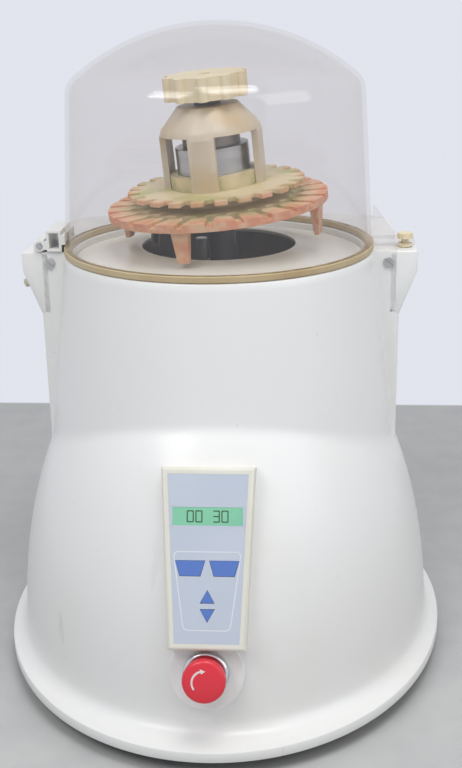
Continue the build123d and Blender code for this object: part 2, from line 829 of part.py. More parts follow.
with BuildPart() as lid_gusset:
    with BuildSketch(Plane.XZ):
        with BuildLine():
            Polyline(
                (rim_radius - 4, tongue_z + tongue_thickness),
                (rim_radius + gusset_length - 4, tongue_z + tongue_thickness),
                (rim_radius + gusset_length - 4, tongue_z + tongue_thickness + 5),
                (rim_radius, tongue_z + tongue_thickness + gusset_height),
                (rim_radius - 4, tongue_z + tongue_thickness + gusset_height),
                close=True,
            )
        make_face()
    extrude(amount=tongue_thickness / 2, both=True)
    with Locations((0, 0, rim_z)):
        Cylinder(rim_radius - lid_gap + 0.05, 2 * (dome_foot_z - rim_z), mode=Mode.SUBTRACT)
    with Locations((0, 0, dome_foot_z + 30)):
        Cylinder(dome_foot_radius + 0.05, 60, mode=Mode.SUBTRACT)
finish(lid_gusset, "lid_gusset")

with BuildPart() as catch_knob:
    with BuildSketch(Plane.XY.offset(tongue_z + tongue_thickness + lid_gap)):
        with Locations((catch_x, 0)):
            Circle(catch_radius)
            with PolarLocations(catch_radius, 6):
                Circle(1, mode=Mode.SUBTRACT)
    extrude(amount=4.5)
    with BuildSketch(Plane.XY.offset(rim_z + lid_gap)):
        with Locations((catch_x, 0)):
            Circle(catch_radius - 0.5)
    extrude(amount=tongue_z - rim_z - 2 * lid_gap)
    with BuildSketch(Plane.XY.offset(rim_z - keeper_depth + 4)):
        with Locations((catch_x, 0)):
            Circle(catch_pin_radius)
    extrude(amount=tongue_z + tongue_thickness + 1 - rim_z + keeper_depth - 4)
finish(catch_knob, "catch_knob")

with BuildPart() as catch_keeper:
    with BuildSketch(Plane.XY.offset(rim_z - keeper_depth)):
        with Locations((catch_x, 0)):
            Circle(keeper_radius)
    extrude(amount=keeper_depth)
    with BuildSketch(Plane.XY.offset(rim_z)):
        with Locations((catch_x, 0)):
            Circle(catch_pin_radius + 0.8)
    extrude(amount=-keeper_depth + 2, mode=Mode.SUBTRACT)
finish(catch_keeper, "catch_keeper")

# Slotted ear screws and the bumper on the left ear
with BuildPart() as ear_screws:
    with BuildSketch(Plane.XZ.offset(-column_front_y)):
        for side in (-1, 1):
            with Locations((side * (column_half_width - screw_inset), rim_z - screw_inset)):
                Circle(screw_radius)
    extrude(amount=screw_height)
    with BuildSketch(Plane.XZ.offset(-column_front_y + screw_height)):
        for side in (-1, 1):
            with Locations((side * (column_half_width - screw_inset), rim_z - screw_inset)):
                Rectangle(2 * screw_radius, screw_slot, rotation=-38)
    extrude(amount=-screw_height / 2, mode=Mode.SUBTRACT)
finish(ear_screws, "ear_screws")

ear_flare = ear_half_width - column_half_width
bumper_plane = Plane(
    origin=(
        -ear_half_width + bumper_share * ear_flare,
        column_front_y + bumper_inset,
        rim_z - ear_side - bumper_share * ear_slope,
    ),
    x_dir=(0, 1, 0),
    z_dir=(-ear_slope, 0, -ear_flare),
)
with BuildPart() as lid_bumper:
    with BuildSketch(bumper_plane):
        Circle(bumper_radius)
    extrude(amount=bumper_height)
    fillet(lid_bumper.edges().sort_by(Axis(bumper_plane.origin, bumper_plane.z_dir))[-1], bumper_height / 3)
finish(lid_bumper, "lid_bumper")


# Control box: tapered case, overlay, display window and four keys
def panel_outline(inset):
    """Tapered outline of the control box, drawn in by a margin."""
    with BuildLine(mode=Mode.PRIVATE) as outline:
        Polyline(
            (-panel_top_width / 2 + inset, panel_height / 2 - inset),
            (panel_top_width / 2 - inset, panel_height / 2 - inset),
            (panel_bottom_width / 2 - inset, -panel_height / 2 + inset),
            (-panel_bottom_width / 2 + inset, -panel_height / 2 + inset),
            close=True,
        )
    return outline.line


def trapezoid_key(clearance):
    """Outline of one tapered key, wider at its top."""
    half_top = wide_key_top / 2 + clearance
    half_foot = wide_key_foot / 2 + clearance
    half_height = wide_key_height / 2 + clearance
    with BuildLine(mode=Mode.PRIVATE) as outline:
        Polyline(
            (-half_top, half_height),
            (half_top, half_height),
            (half_foot, -half_height),
            (-half_foot, -half_height),
            close=True,
        )
    return make_face(outline.line, mode=Mode.PRIVATE)


def arrow_key(clearance, direction):
    """Outline of one triangular key that points up or down."""
    half_width = arrow_key_width / 2 + 1.6 * clearance
    half_height = arrow_key_height / 2 + 1.6 * clearance
    with BuildLine(mode=Mode.PRIVATE) as outline:
        Polyline(
            (-half_width, -direction * half_height),
            (half_width, -direction * half_height),
            (0, direction * half_height),
            close=True,
        )
    return make_face(outline.line, mode=Mode.PRIVATE)


key_places = {
    "set_key": (-12.6, -7.0),
    "run_key": (12.6, -7.0),
    "up_key": (0.3, -27.5),
    "down_key": (0.3, -41.5),
}


def key_face(name, clearance):
    """Face of one key by its name, with a clearance all round."""
    if name in ("set_key", "run_key"):
        return trapezoid_key(clearance)
    return arrow_key(clearance, 1 if name == "up_key" else -1)


with BuildPart() as control_case:
    with BuildSketch(panel_plane):
        make_face(panel_outline(0).edges())
    extrude(amount=-panel_depth)
    fillet(control_case.faces().sort_by(Axis(panel_plane.origin, panel_plane.z_dir))[-1].edges(), 3)
    with BuildSketch(panel_plane):
        make_face(panel_outline(panel_margin).edges())
    extrude(amount=-overlay_thickness, mode=Mode.SUBTRACT)
    with BuildSketch(panel_plane.offset(-overlay_thickness)):
        for key_name, place in key_places.items():
            with Locations(place):
                add(key_face(key_name, key_clearance))
        with Locations((0, window_up)):
            Rectangle(window_width, window_height)
    extrude(amount=-key_thickness - key_travel, mode=Mode.SUBTRACT)
finish(control_case, "control_case")

with BuildPart() as control_overlay:
    with BuildSketch(panel_plane):
        make_face(panel_outline(panel_margin).edges())
        for key_name, place in key_places.items():
            with Locations(place):
                add(key_face(key_name, key_clearance), mode=Mode.SUBTRACT)
        with Locations((0, window_up)):
            Rectangle(window_width, window_height, mode=Mode.SUBTRACT)
    extrude(amount=-overlay_thickness)
finish(control_overlay, "control_overlay")

with BuildPart() as display_window:
    with BuildSketch(panel_plane.offset(-overlay_thickness - key_thickness - key_travel)):
        with Locations((0, window_up)):
            Rectangle(window_width, window_height)
    extrude(amount=overlay_thickness + key_thickness + key_travel - 0.2)
finish(display_window, "display_window")

key_bottom = -overlay_thickness - key_thickness + 0.2
for key_name, place in key_places.items():
    with BuildPart() as key:
        with BuildSketch(panel_plane.offset(key_bottom)):
            with Locations(place):
                add(key_face(key_name, 0))
        extrude(amount=overlay_thickness + key_thickness)
    finish(key, key_name)

# Stop button: collar with barrel, contact block, sliding stem and twist head
stop_face = stop_boss_proud
head_bottom = stop_face + stop_collar_height + stop_travel + 0.5
with BuildPart() as stop_collar:
    with BuildSketch(stop_plane.offset(stop_face)):
        Circle(stop_collar_radius)
    extrude(amount=stop_collar_height)
    fillet(stop_collar.edges().sort_by(Axis(stop_plane.origin, stop_plane.z_dir))[-1], 2.5)
    with BuildSketch(stop_plane.offset(stop_face)):
        Circle(stop_barrel_radius)
    extrude(amount=-26)
    with BuildSketch(stop_plane.offset(stop_face + stop_collar_height)):
        Circle(stop_stem_radius + running_clearance)
    extrude(amount=-2 * stop_collar_height - 40, mode=Mode.SUBTRACT)
finish(stop_collar, "stop_collar")

with BuildPart() as stop_contact_block:
    with BuildSketch(stop_plane.offset(stop_face - 26)):
        Rectangle(30, 36)
    extrude(amount=-24)
    with BuildSketch(stop_plane.offset(stop_face - 26)):
        Circle(stop_stem_radius + 1)
    extrude(amount=-8, mode=Mode.SUBTRACT)
finish(stop_contact_block, "stop_contact_block")

with BuildPart() as stop_stem:
    with BuildSketch(stop_plane.offset(stop_face - 26)):
        Circle(stop_stem_radius)
    extrude(amount=head_bottom - stop_face + 26)
    with BuildSketch(stop_plane.offset(head_bottom)):
        Circle(stop_stem_radius - 2)
    extrude(amount=stop_head_height - 5)
finish(stop_stem, "stop_stem")

with BuildPart() as stop_head:
    with BuildSketch(Plane(origin=stop_plane.origin, x_dir=stop_plane.x_dir, z_dir=-stop_plane.y_dir)):
        with BuildLine():
            Polyline(
                (0, head_bottom + lid_gap),
                (stop_head_radius - 4, head_bottom + lid_gap),
                (stop_head_radius, head_bottom + 5),
                (stop_head_radius, head_bottom + stop_head_height - 4),
            )
            Spline(
                (stop_head_radius, head_bottom + stop_head_height - 4),
                (stop_head_radius - 4, head_bottom + stop_head_height - 0.8),
                (0, head_bottom + stop_head_height),
                tangents=((0, 1), (-1, 0)),
            )
            Line((0, head_bottom + stop_head_height), (0, head_bottom + lid_gap))
        make_face()
    revolve(axis=Axis(stop_plane.origin, stop_plane.z_dir))
    with BuildSketch(stop_plane.offset(head_bottom)):
        Circle(stop_stem_radius - 2 + running_clearance)
    extrude(amount=stop_head_height - 4.5, mode=Mode.SUBTRACT)
finish(stop_head, "stop_head")

# Rear service panel with fan, guard, power inlet, rocker switch and fuse caps
service_plane = Plane(origin=(0, column_back_y, 0), x_dir=(-1, 0, 0), z_dir=(0, 1, 0))
service_mid = (service_bottom + service_top) / 2
with BuildPart() as service_panel:
    with BuildSketch(service_plane):
        with Locations((0, service_mid)):
            RectangleRounded(2 * service_half_width, service_top - service_bottom, 6)
        with Locations((-fan_x, fan_z)):
            Circle(fan_bore, mode=Mode.SUBTRACT)
        with Locations((-inlet_x, inlet_z)):
            Rectangle(inlet_width - 14, inlet_height - 4, mode=Mode.SUBTRACT)
        with Locations((-rocker_x, inlet_z)):
            Rectangle(rocker_width, rocker_height, mode=Mode.SUBTRACT)
        with Locations((-inlet_x, fuse_z), (-inlet_x + fuse_spacing, fuse_z)):
            Circle(fuse_radius, mode=Mode.SUBTRACT)
    extrude(amount=service_thickness)
finish(service_panel, "service_panel")

service_face = service_plane.offset(service_thickness)
with BuildPart() as panel_screws:
    with BuildSketch(service_face):
        with Locations((0, service_mid)):
            with GridLocations(2 * service_half_width - 14, service_top - service_bottom - 14, 2, 2):
                Circle(3.2)
    extrude(amount=1.8)
    chamfer(panel_screws.edges().group_by(Axis.Y)[-1], 0.7)
finish(panel_screws, "panel_screws")

with BuildPart() as fan_frame:
    with BuildSketch(service_plane):
        with Locations((-fan_x, fan_z)):
            RectangleRounded(fan_size, fan_size, 5)
            Circle(fan_bore, mode=Mode.SUBTRACT)
    extrude(amount=-fan_depth)
    with BuildSketch(service_plane.offset(-fan_depth)):
        with Locations((-fan_x, fan_z)):
            Circle(fan_hub)
            Rectangle(2 * fan_bore + 2, 4)
            Rectangle(4, 2 * fan_bore + 2)
    extrude(amount=2.5)
finish(fan_frame, "fan_frame")

with BuildPart() as fan_rotor:
    with BuildSketch(service_plane.offset(-fan_depth + 2.8)):
        with Locations((-fan_x, fan_z)):
            Circle(fan_hub)
    extrude(amount=fan_depth - 6)
    with BuildSketch(service_plane.offset(-fan_depth + 5)):
        with Locations((-fan_x, fan_z)):
            with PolarLocations(fan_hub - 1, 7):
                with Locations(Location((0, 0), 25)):
                    Rectangle(fan_bore - fan_hub - 1, 2.2, align=(Align.MIN, Align.CENTER))
    extrude(amount=fan_depth - 11)
finish(fan_rotor, "fan_rotor")

with BuildPart() as fan_guard:
    with BuildSketch(service_face):
        with Locations((-fan_x, fan_z)):
            for ring in range(4):
                ring_radius = fan_bore + guard_wire / 2 - ring * guard_step
                Circle(ring_radius)
                Circle(ring_radius - guard_wire, mode=Mode.SUBTRACT)
            for turn in (-45, 45):
                Rectangle(2 * fan_bore + 7 * guard_wire, guard_wire, rotation=turn)
    extrude(amount=guard_wire)
finish(fan_guard, "fan_guard")

with BuildPart() as power_inlet:
    with BuildSketch(service_face):
        with Locations((-inlet_x, inlet_z)):
            RectangleRounded(inlet_width, inlet_height, 4)
    extrude(amount=2)
    with BuildSketch(service_face):
        with Locations((-inlet_x, inlet_z)):
            Rectangle(inlet_width - 14, inlet_height - 4)
    extrude(amount=-22)
    with BuildSketch(service_face.offset(2)):
        with Locations((-inlet_x, inlet_z)):
            RectangleRounded(24, 16, 3)
    extrude(amount=-17, mode=Mode.SUBTRACT)
    with BuildSketch(service_face.offset(-15)):
        with Locations((-inlet_x, inlet_z)):
            with Locations((-7, -1.5), (0, 1.5), (7, -1.5)):
                Rectangle(2, 4)
    extrude(amount=12)
finish(power_inlet, "power_inlet")

with BuildPart() as fuse_caps:
    with BuildSketch(service_face.offset(-12)):
        with Locations((-inlet_x, fuse_z), (-inlet_x + fuse_spacing, fuse_z)):
            Circle(fuse_radius)
    extrude(amount=12)
    with BuildSketch(service_face):
        with Locations((-inlet_x, fuse_z), (-inlet_x + fuse_spacing, fuse_z)):
            Circle(fuse_radius + 2)
    extrude(amount=5)
    with BuildSketch(service_face.offset(5)):
        with Locations((-inlet_x, fuse_z), (-inlet_x + fuse_spacing, fuse_z)):
            Rectangle(9, 1.4)
    extrude(amount=-1.5, mode=Mode.SUBTRACT)
finish(fuse_caps, "fuse_caps")

rocker_axis_y = column_back_y + service_thickness - 1.5
with BuildPart() as rocker_frame:
    with BuildSketch(service_face):
        with Locations((-rocker_x, inlet_z)):
            Rectangle(rocker_width + 4, rocker_height + 5)
    extrude(amount=1.5)
    with BuildSketch(service_face):
        with Locations((-rocker_x, inlet_z)):
            Rectangle(rocker_width, rocker_height)
    extrude(amount=-14)
    with BuildSketch(service_face.offset(1.5)):
        with Locations((-rocker_x, inlet_z)):
            Rectangle(rocker_width - 2.5, rocker_height - 3)
    extrude(amount=-11, mode=Mode.SUBTRACT)
finish(rocker_frame, "rocker_frame")

with BuildPart() as rocker_switch:
    with BuildSketch(Plane.YZ.offset(rocker_x - rocker_width / 2 + 1.55)):
        with BuildLine():
            Polyline(
                (rocker_axis_y - 2, inlet_z - 8.0),
                (rocker_axis_y + 5.4, inlet_z - 7.4),
                (rocker_axis_y + 2.8, inlet_z),
                (rocker_axis_y + 4.2, inlet_z + 7.4),
                (rocker_axis_y - 2, inlet_z + 8.0),
                close=True,
            )
        make_face()
        with Locations((rocker_axis_y, inlet_z)):
            Circle(rocker_pivot_radius)
    extrude(amount=rocker_width - 3.1)
finish(rocker_switch, "rocker_switch")

# Power supply and motor drive board on the base pan
with BuildPart() as power_supply:
    with BuildSketch(Plane.XY.offset(flange_bottom)):
        with Locations((0, base_half_depth - supply_inset)):
            Rectangle(supply_width, supply_depth)
    extrude(amount=supply_height)
finish(power_supply, "power_supply")

board_y = board_inset - base_half_depth
with BuildPart() as drive_board:
    with BuildSketch(Plane.XY.offset(flange_bottom + board_lift)):
        with Locations((0, board_y)):
            Rectangle(board_width, board_depth)
    extrude(amount=board_thickness)
    with BuildSketch(Plane.XY.offset(flange_bottom)):
        with Locations((0, board_y)):
            with GridLocations(board_width - 2 * board_hole_inset, board_depth - 2 * board_hole_inset, 2, 2):
                Circle(board_hole_inset / 2)
    extrude(amount=board_lift)
    with BuildSketch(Plane.XY.offset(flange_bottom + board_lift + board_thickness)):
        with Locations((-board_width / 4, board_y)):
            Rectangle(board_depth / 2, board_depth / 2)
        with Locations((board_width / 4, board_y)):
            Circle(board_depth / 5)
    extrude(amount=component_height)
finish(drive_board, "drive_board")
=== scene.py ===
"""Looks of a bench bead mill: moulded shell, clear dome, leaning rotor and control box."""

import json
import logging
import math
from dataclasses import dataclass, field
from enum import Enum
from typing import Any, Callable, Iterable, Optional, Sequence

import bmesh
import bpy
from mathutils import Matrix, Vector

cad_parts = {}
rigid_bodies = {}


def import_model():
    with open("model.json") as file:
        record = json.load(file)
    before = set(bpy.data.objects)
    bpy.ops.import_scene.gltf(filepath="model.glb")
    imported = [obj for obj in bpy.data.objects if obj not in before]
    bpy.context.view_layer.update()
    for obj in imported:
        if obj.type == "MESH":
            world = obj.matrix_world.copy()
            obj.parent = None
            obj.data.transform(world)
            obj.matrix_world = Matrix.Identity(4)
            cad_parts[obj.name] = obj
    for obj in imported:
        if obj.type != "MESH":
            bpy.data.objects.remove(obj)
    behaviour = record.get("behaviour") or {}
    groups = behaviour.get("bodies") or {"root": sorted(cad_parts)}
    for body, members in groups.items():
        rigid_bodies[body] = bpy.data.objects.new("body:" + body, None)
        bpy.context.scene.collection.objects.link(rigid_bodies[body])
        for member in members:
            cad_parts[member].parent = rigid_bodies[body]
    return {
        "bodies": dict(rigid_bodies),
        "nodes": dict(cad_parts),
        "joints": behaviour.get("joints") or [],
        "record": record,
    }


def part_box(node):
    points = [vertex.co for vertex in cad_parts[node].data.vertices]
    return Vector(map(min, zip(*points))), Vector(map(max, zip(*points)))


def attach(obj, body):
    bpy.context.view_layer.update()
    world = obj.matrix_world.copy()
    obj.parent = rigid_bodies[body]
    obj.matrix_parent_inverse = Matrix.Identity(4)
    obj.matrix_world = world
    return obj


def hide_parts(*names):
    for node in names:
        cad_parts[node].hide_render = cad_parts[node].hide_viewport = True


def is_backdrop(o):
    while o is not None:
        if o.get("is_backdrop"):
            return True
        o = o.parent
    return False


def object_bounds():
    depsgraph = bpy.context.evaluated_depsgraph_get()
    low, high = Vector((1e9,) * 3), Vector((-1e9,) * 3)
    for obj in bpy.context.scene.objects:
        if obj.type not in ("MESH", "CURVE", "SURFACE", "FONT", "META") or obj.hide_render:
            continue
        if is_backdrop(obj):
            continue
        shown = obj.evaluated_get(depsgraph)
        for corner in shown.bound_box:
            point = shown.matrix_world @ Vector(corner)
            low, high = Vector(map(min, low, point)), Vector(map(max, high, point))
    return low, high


LOG = logging.getLogger("bead_mill")
MM = 0.001
Colour = tuple[float, float, float]
Point = tuple[float, float, float]
Outline = Sequence[tuple[float, float]]
Solid = bmesh.types.BMesh


class Value:
    """A shader socket that builds Math nodes from Python expressions."""

    def __init__(self, shader: "Shader", socket: Any) -> None:
        """Wraps one output socket of a shader."""
        self.shader = shader
        self.socket = socket

    def _math(self, operation: str, first: Any, second: Any) -> "Value":
        """Adds one Math node.

        Args:
            operation: Name of the Math operation.
            first: First operand, a Value or a number.
            second: Second operand, a Value or a number.

        Returns:
            The result as a Value.
        """
        node = self.shader.node("ShaderNodeMath", {"operation": operation}, {0: first, 1: second})
        return Value(self.shader, node.outputs[0])

    def __add__(self, other: Any) -> "Value":
        """Sum with another value."""
        return self._math("ADD", self, other)

    __radd__ = __add__

    def __sub__(self, other: Any) -> "Value":
        """Difference from another value."""
        return self._math("SUBTRACT", self, other)

    def __rsub__(self, other: Any) -> "Value":
        """Difference with the operands turned round."""
        return self._math("SUBTRACT", other, self)

    def __mul__(self, other: Any) -> "Value":
        """Product with another value."""
        return self._math("MULTIPLY", self, other)

    __rmul__ = __mul__

    def __pow__(self, other: Any) -> "Value":
        """Power of this value."""
        return self._math("POWER", self, other)

    def size(self) -> "Value":
        """This value without its sign."""
        return self._math("ABSOLUTE", self, 0.0)

    def at_least(self, other: Any) -> "Value":
        """The greater of this value and another."""
        return self._math("MAXIMUM", self, other)

    def ramp(self, low: float, high: float) -> "Value":
        """Smooth step of this value.

        Args:
            low: Value that becomes zero.
            high: Value that becomes one.

        Returns:
            The stepped Value.
        """
        node = self.shader.node(
            "ShaderNodeMapRange",
            {"interpolation_type": "SMOOTHSTEP"},
            {"Value": self, "From Min": low, "From Max": high},
        )
        return Value(self.shader, node.outputs[0])


class Shader:
    """One material, or the sky, and the nodes that it is made of."""

    def __init__(self, owner: Any, output: str = "ShaderNodeOutputMaterial") -> None:
        """Empties the node tree of a material or world and gives it an output."""
        self.owner = owner
        owner.use_nodes = True
        self.tree = owner.node_tree
        self.tree.nodes.clear()
        self.output = self.node(output, {}, {})

    def node(self, kind: str, settings: dict[str, Any], inputs: dict[Any, Any]) -> Any:
        """Adds a node, with its settings first and then its sockets.

        Args:
            kind: Node type.
            settings: Attributes of the node.
            inputs: Socket name or number to a value, a Value or a socket.

        Returns:
            The new node.
        """
        node = self.tree.nodes.new(kind)
        for name, setting in settings.items():
            setattr(node, name, setting)
        for key, given in inputs.items():
            socket = node.inputs[key]
            if isinstance(given, Value):
                self.tree.links.new(given.socket, socket)
            elif isinstance(given, bpy.types.NodeSocket):
                self.tree.links.new(given, socket)
            elif isinstance(given, tuple) and len(given) == 3 and socket.type == "RGBA":
                socket.default_value = (*given, 1.0)
            else:
                socket.default_value = given
        return node

    def place(self, centre: Sequence[float] = (0, 0, 0), turn: Sequence[float] = (0, 0, 0)) -> Any:
        """Object coordinates, centred and turned by a Mapping node.

        Args:
            centre: Point that becomes the origin.
            turn: Turn of the object's pattern, in radians.

        Returns:
            The vector socket.
        """
        source = self.node("ShaderNodeTexCoord", {}, {}).outputs["Object"]
        if not any(centre) and not any(turn):
            return source
        moved = self.node("ShaderNodeVectorMath", {"operation": "SUBTRACT"}, {0: source, 1: tuple(centre)})
        sockets = {"Vector": moved.outputs[0], "Rotation": tuple(turn)}
        return self.node("ShaderNodeMapping", {"vector_type": "POINT"}, sockets).outputs[0]

    def axes(self, vector: Any) -> tuple[Value, Value, Value]:
        """The three parts of a vector socket."""
        node = self.node("ShaderNodeSeparateXYZ", {}, {0: vector})
        return tuple(Value(self, output) for output in node.outputs)

    def noise(self, scale: float, detail: float = 4.0, stretch: Sequence[float] = (1, 1, 1)) -> Value:
        """Noise on the object's coordinates.

        Args:
            scale: Waves per metre.
            detail: Octaves.
            stretch: Scale of each axis.

        Returns:
            The noise as a Value.
        """
        stretched = {0: self.place(), 1: tuple(stretch)}
        vector = self.node("ShaderNodeVectorMath", {"operation": "MULTIPLY"}, stretched).outputs[0]
        node = self.node("ShaderNodeTexNoise", {}, {"Vector": vector, "Scale": scale, "Detail": detail})
        return Value(self, node.outputs["Fac"])

    def blend(self, factor: Any, first: Any, second: Any) -> Any:
        """Mix of two colours.

        Args:
            factor: Share of the second colour.
            first: Colour at zero.
            second: Colour at one.

        Returns:
            The colour socket.
        """
        node = self.node("ShaderNodeMix", {"data_type": "RGBA"}, {0: factor, 6: first, 7: second})
        return node.outputs[2]

    def bump(self, height: Value, distance: float, strength: float = 1.0) -> Any:
        """Normal of a bumpy surface.

        Args:
            height: Height pattern.
            distance: Depth of the pattern in metres.
            strength: Share of the bump that shows.

        Returns:
            The normal socket.
        """
        sockets = {"Height": height, "Distance": distance, "Strength": strength}
        return self.node("ShaderNodeBump", {}, sockets).outputs[0]

    def surface(self, **sockets: Any) -> Any:
        """A Principled surface whose sockets are named with underscores."""
        titled = {key.replace("_", " ").title(): given for key, given in sockets.items()}
        named = {key.replace("Ior", "IOR"): given for key, given in titled.items()}
        return self.node("ShaderNodeBsdfPrincipled", {}, named).outputs[0]

    def mix(self, factor: Any, first: Any, second: Any) -> Any:
        """Mix of two surfaces by the share of the second."""
        return self.node("ShaderNodeMixShader", {}, {0: factor, 1: first, 2: second}).outputs[0]

    def seen_directly(self) -> "Value":
        """One for rays from the camera, a mirror or clear plastic, and zero for light that falls."""
        rays = self.node("ShaderNodeLightPath", {}, {})
        camera, glossy, clear = (
            Value(self, rays.outputs[f"Is {kind} Ray"]) for kind in ("Camera", "Glossy", "Transmission")
        )
        return camera + glossy + clear

    def finish(self, surface: Any) -> Any:
        """Joins a surface to the output and returns the owner."""
        self.tree.links.new(surface, self.output.inputs["Surface"])
        return self.owner


def new_material(name: str) -> Shader:
    """Starts a material of a name."""
    return Shader(bpy.data.materials.new(name))


@dataclass(frozen=True)
class Finish:
    """A plain finish with mottling, uneven gloss and a fine surface grain."""

    name: str
    slot: str
    colour: Colour
    second: Colour
    roughness: float = 0.4
    unevenness: float = 0.08
    metallic: float = 0.0
    coat: float = 0.0
    patch_scale: float = 18.0
    grain_scale: float = 700.0
    grain_depth: float = 0.00004
    stretch: Point = (1.0, 1.0, 1.0)

    def make(self) -> bpy.types.Material:
        """Builds the material, or returns it where it already exists."""
        known = bpy.data.materials.get(self.name)
        if known:
            return known
        shader = new_material(self.name)
        patches = shader.noise(self.patch_scale, 5.0, self.stretch)
        colour = shader.blend(patches.ramp(0.38, 0.68), self.colour, self.second)
        gloss = shader.noise(self.patch_scale * 3.1, 3.0, self.stretch) * (2 * self.unevenness)
        rough = gloss + (self.roughness - self.unevenness)
        grain = shader.noise(self.grain_scale, 2.0, self.stretch)
        return shader.finish(
            shader.surface(
                base_color=colour,
                roughness=rough,
                metallic=self.metallic,
                coat_weight=self.coat,
                normal=shader.bump(grain, self.grain_depth, 0.6),
            )
        )


@dataclass(frozen=True)
class ClearFinish:
    """Clear moulded plastic: thin, with edge gloss, faint haze and rub marks."""

    name: str = "clear_dome"
    slot: str = "clear_plastic"
    tint: Colour = (0.962, 0.953, 0.947)
    haze: float = 0.012
    gloss: float = 0.032

    def make(self) -> bpy.types.Material:
        """Builds the material of the clear pieces."""
        known = bpy.data.materials.get(self.name)
        if known:
            return known
        shader = new_material(self.name)
        facing = Value(shader, shader.node("ShaderNodeLayerWeight", {}, {"Blend": 0.28}).outputs["Facing"])
        rub = shader.noise(26.0, 6.0, (1.0, 1.0, 0.16)).ramp(0.56, 0.78)
        gloss = (facing**2.6) * 0.30 + self.gloss
        share = (facing**3.0) * 0.45 + rub * 0.035 + self.haze
        clear = shader.node("ShaderNodeBsdfTransparent", {}, {"Color": self.tint}).outputs[0]
        skin = shader.surface(
            base_color=(0.62, 0.60, 0.58),
            roughness=rub * 0.10 + 0.05,
            specular_ior_level=0.9,
            coat_weight=1.0,
        )
        polish = {"Color": (1.0, 1.0, 1.0), "Roughness": 0.06}
        mirror = shader.node("ShaderNodeBsdfGlossy", {}, polish).outputs[0]
        return shader.finish(shader.mix(share, shader.mix(gloss, clear, mirror), skin))


@dataclass(frozen=True)
class StainedFinish:
    """Cream resin that is stained salmon towards a rim, about the rotor's axis."""

    name: str
    slot: str
    centre: Point
    turn: Point
    inner: float
    outer: float
    cream: Colour = (0.74, 0.63, 0.40)
    green: Colour = (0.52, 0.49, 0.22)
    salmon: Colour = (0.72, 0.25, 0.13)

    def make(self) -> bpy.types.Material:
        """Builds the stained resin."""
        known = bpy.data.materials.get(self.name)
        if known:
            return known
        shader = new_material(self.name)
        across, along, _ = shader.axes(shader.place(self.centre, self.turn))
        radius = (across * across + along * along) ** 0.5
        ragged = radius + (shader.noise(60.0, 4.0) - 0.5) * 0.030
        stain = ragged.ramp(self.inner, self.outer)
        ground = shader.blend(shader.noise(38.0, 5.0).ramp(0.42, 0.66), self.cream, self.green)
        blotch = shader.blend(shader.noise(90.0, 4.0).ramp(0.35, 0.7), self.salmon, (0.80, 0.50, 0.32))
        colour = shader.blend(stain, ground, blotch)
        rough = shader.noise(120.0, 3.0) * 0.16 + 0.38
        grain = shader.bump(shader.noise(520.0, 3.0), 0.00012, 0.7)
        return shader.finish(shader.surface(base_color=colour, roughness=rough, normal=grain))


@dataclass(frozen=True)
class ShellFinish:
    """Glossy off-white moulding with faint yellowing and a few darker, duller vertical streaks that fade
    out upwards from the base.
    """

    name: str = "shell_white"
    slot: str = "housing_white"
    white: Colour = (0.835, 0.835, 0.815)
    warm: Colour = (0.80, 0.795, 0.745)

    def make(self) -> bpy.types.Material:
        """Builds the shell's material."""
        known = bpy.data.materials.get(self.name)
        if known:
            return known
        shader = new_material(self.name)
        warm = shader.noise(5.0, 4.0).ramp(0.42, 0.72) * 0.7
        ground = shader.blend(warm, self.white, self.warm)
        # darker, duller vertical streaks, strongest at the base and gone by about 0.22 m up
        marks = shader.noise(46.0, 6.0, (1.0, 1.0, 0.22)).ramp(0.685, 0.735)
        _, _, height = shader.axes(shader.place())
        low = 1 - height.ramp(0.02, 0.22)
        colour = shader.blend(marks * low * 0.35, ground, (0.50, 0.49, 0.47))
        specks = shader.noise(420.0, 1.0).ramp(0.795, 0.815)
        colour = shader.blend(specks * 0.45, colour, (0.36, 0.32, 0.27))
        rough = shader.noise(16.0, 4.0) * 0.10 + 0.27 + marks * low * 0.2
        waves = shader.bump(shader.noise(120.0, 2.0), 0.00006, 0.5)
        return shader.finish(
            shader.surface(base_color=colour, roughness=rough, coat_weight=0.06, normal=waves)
        )


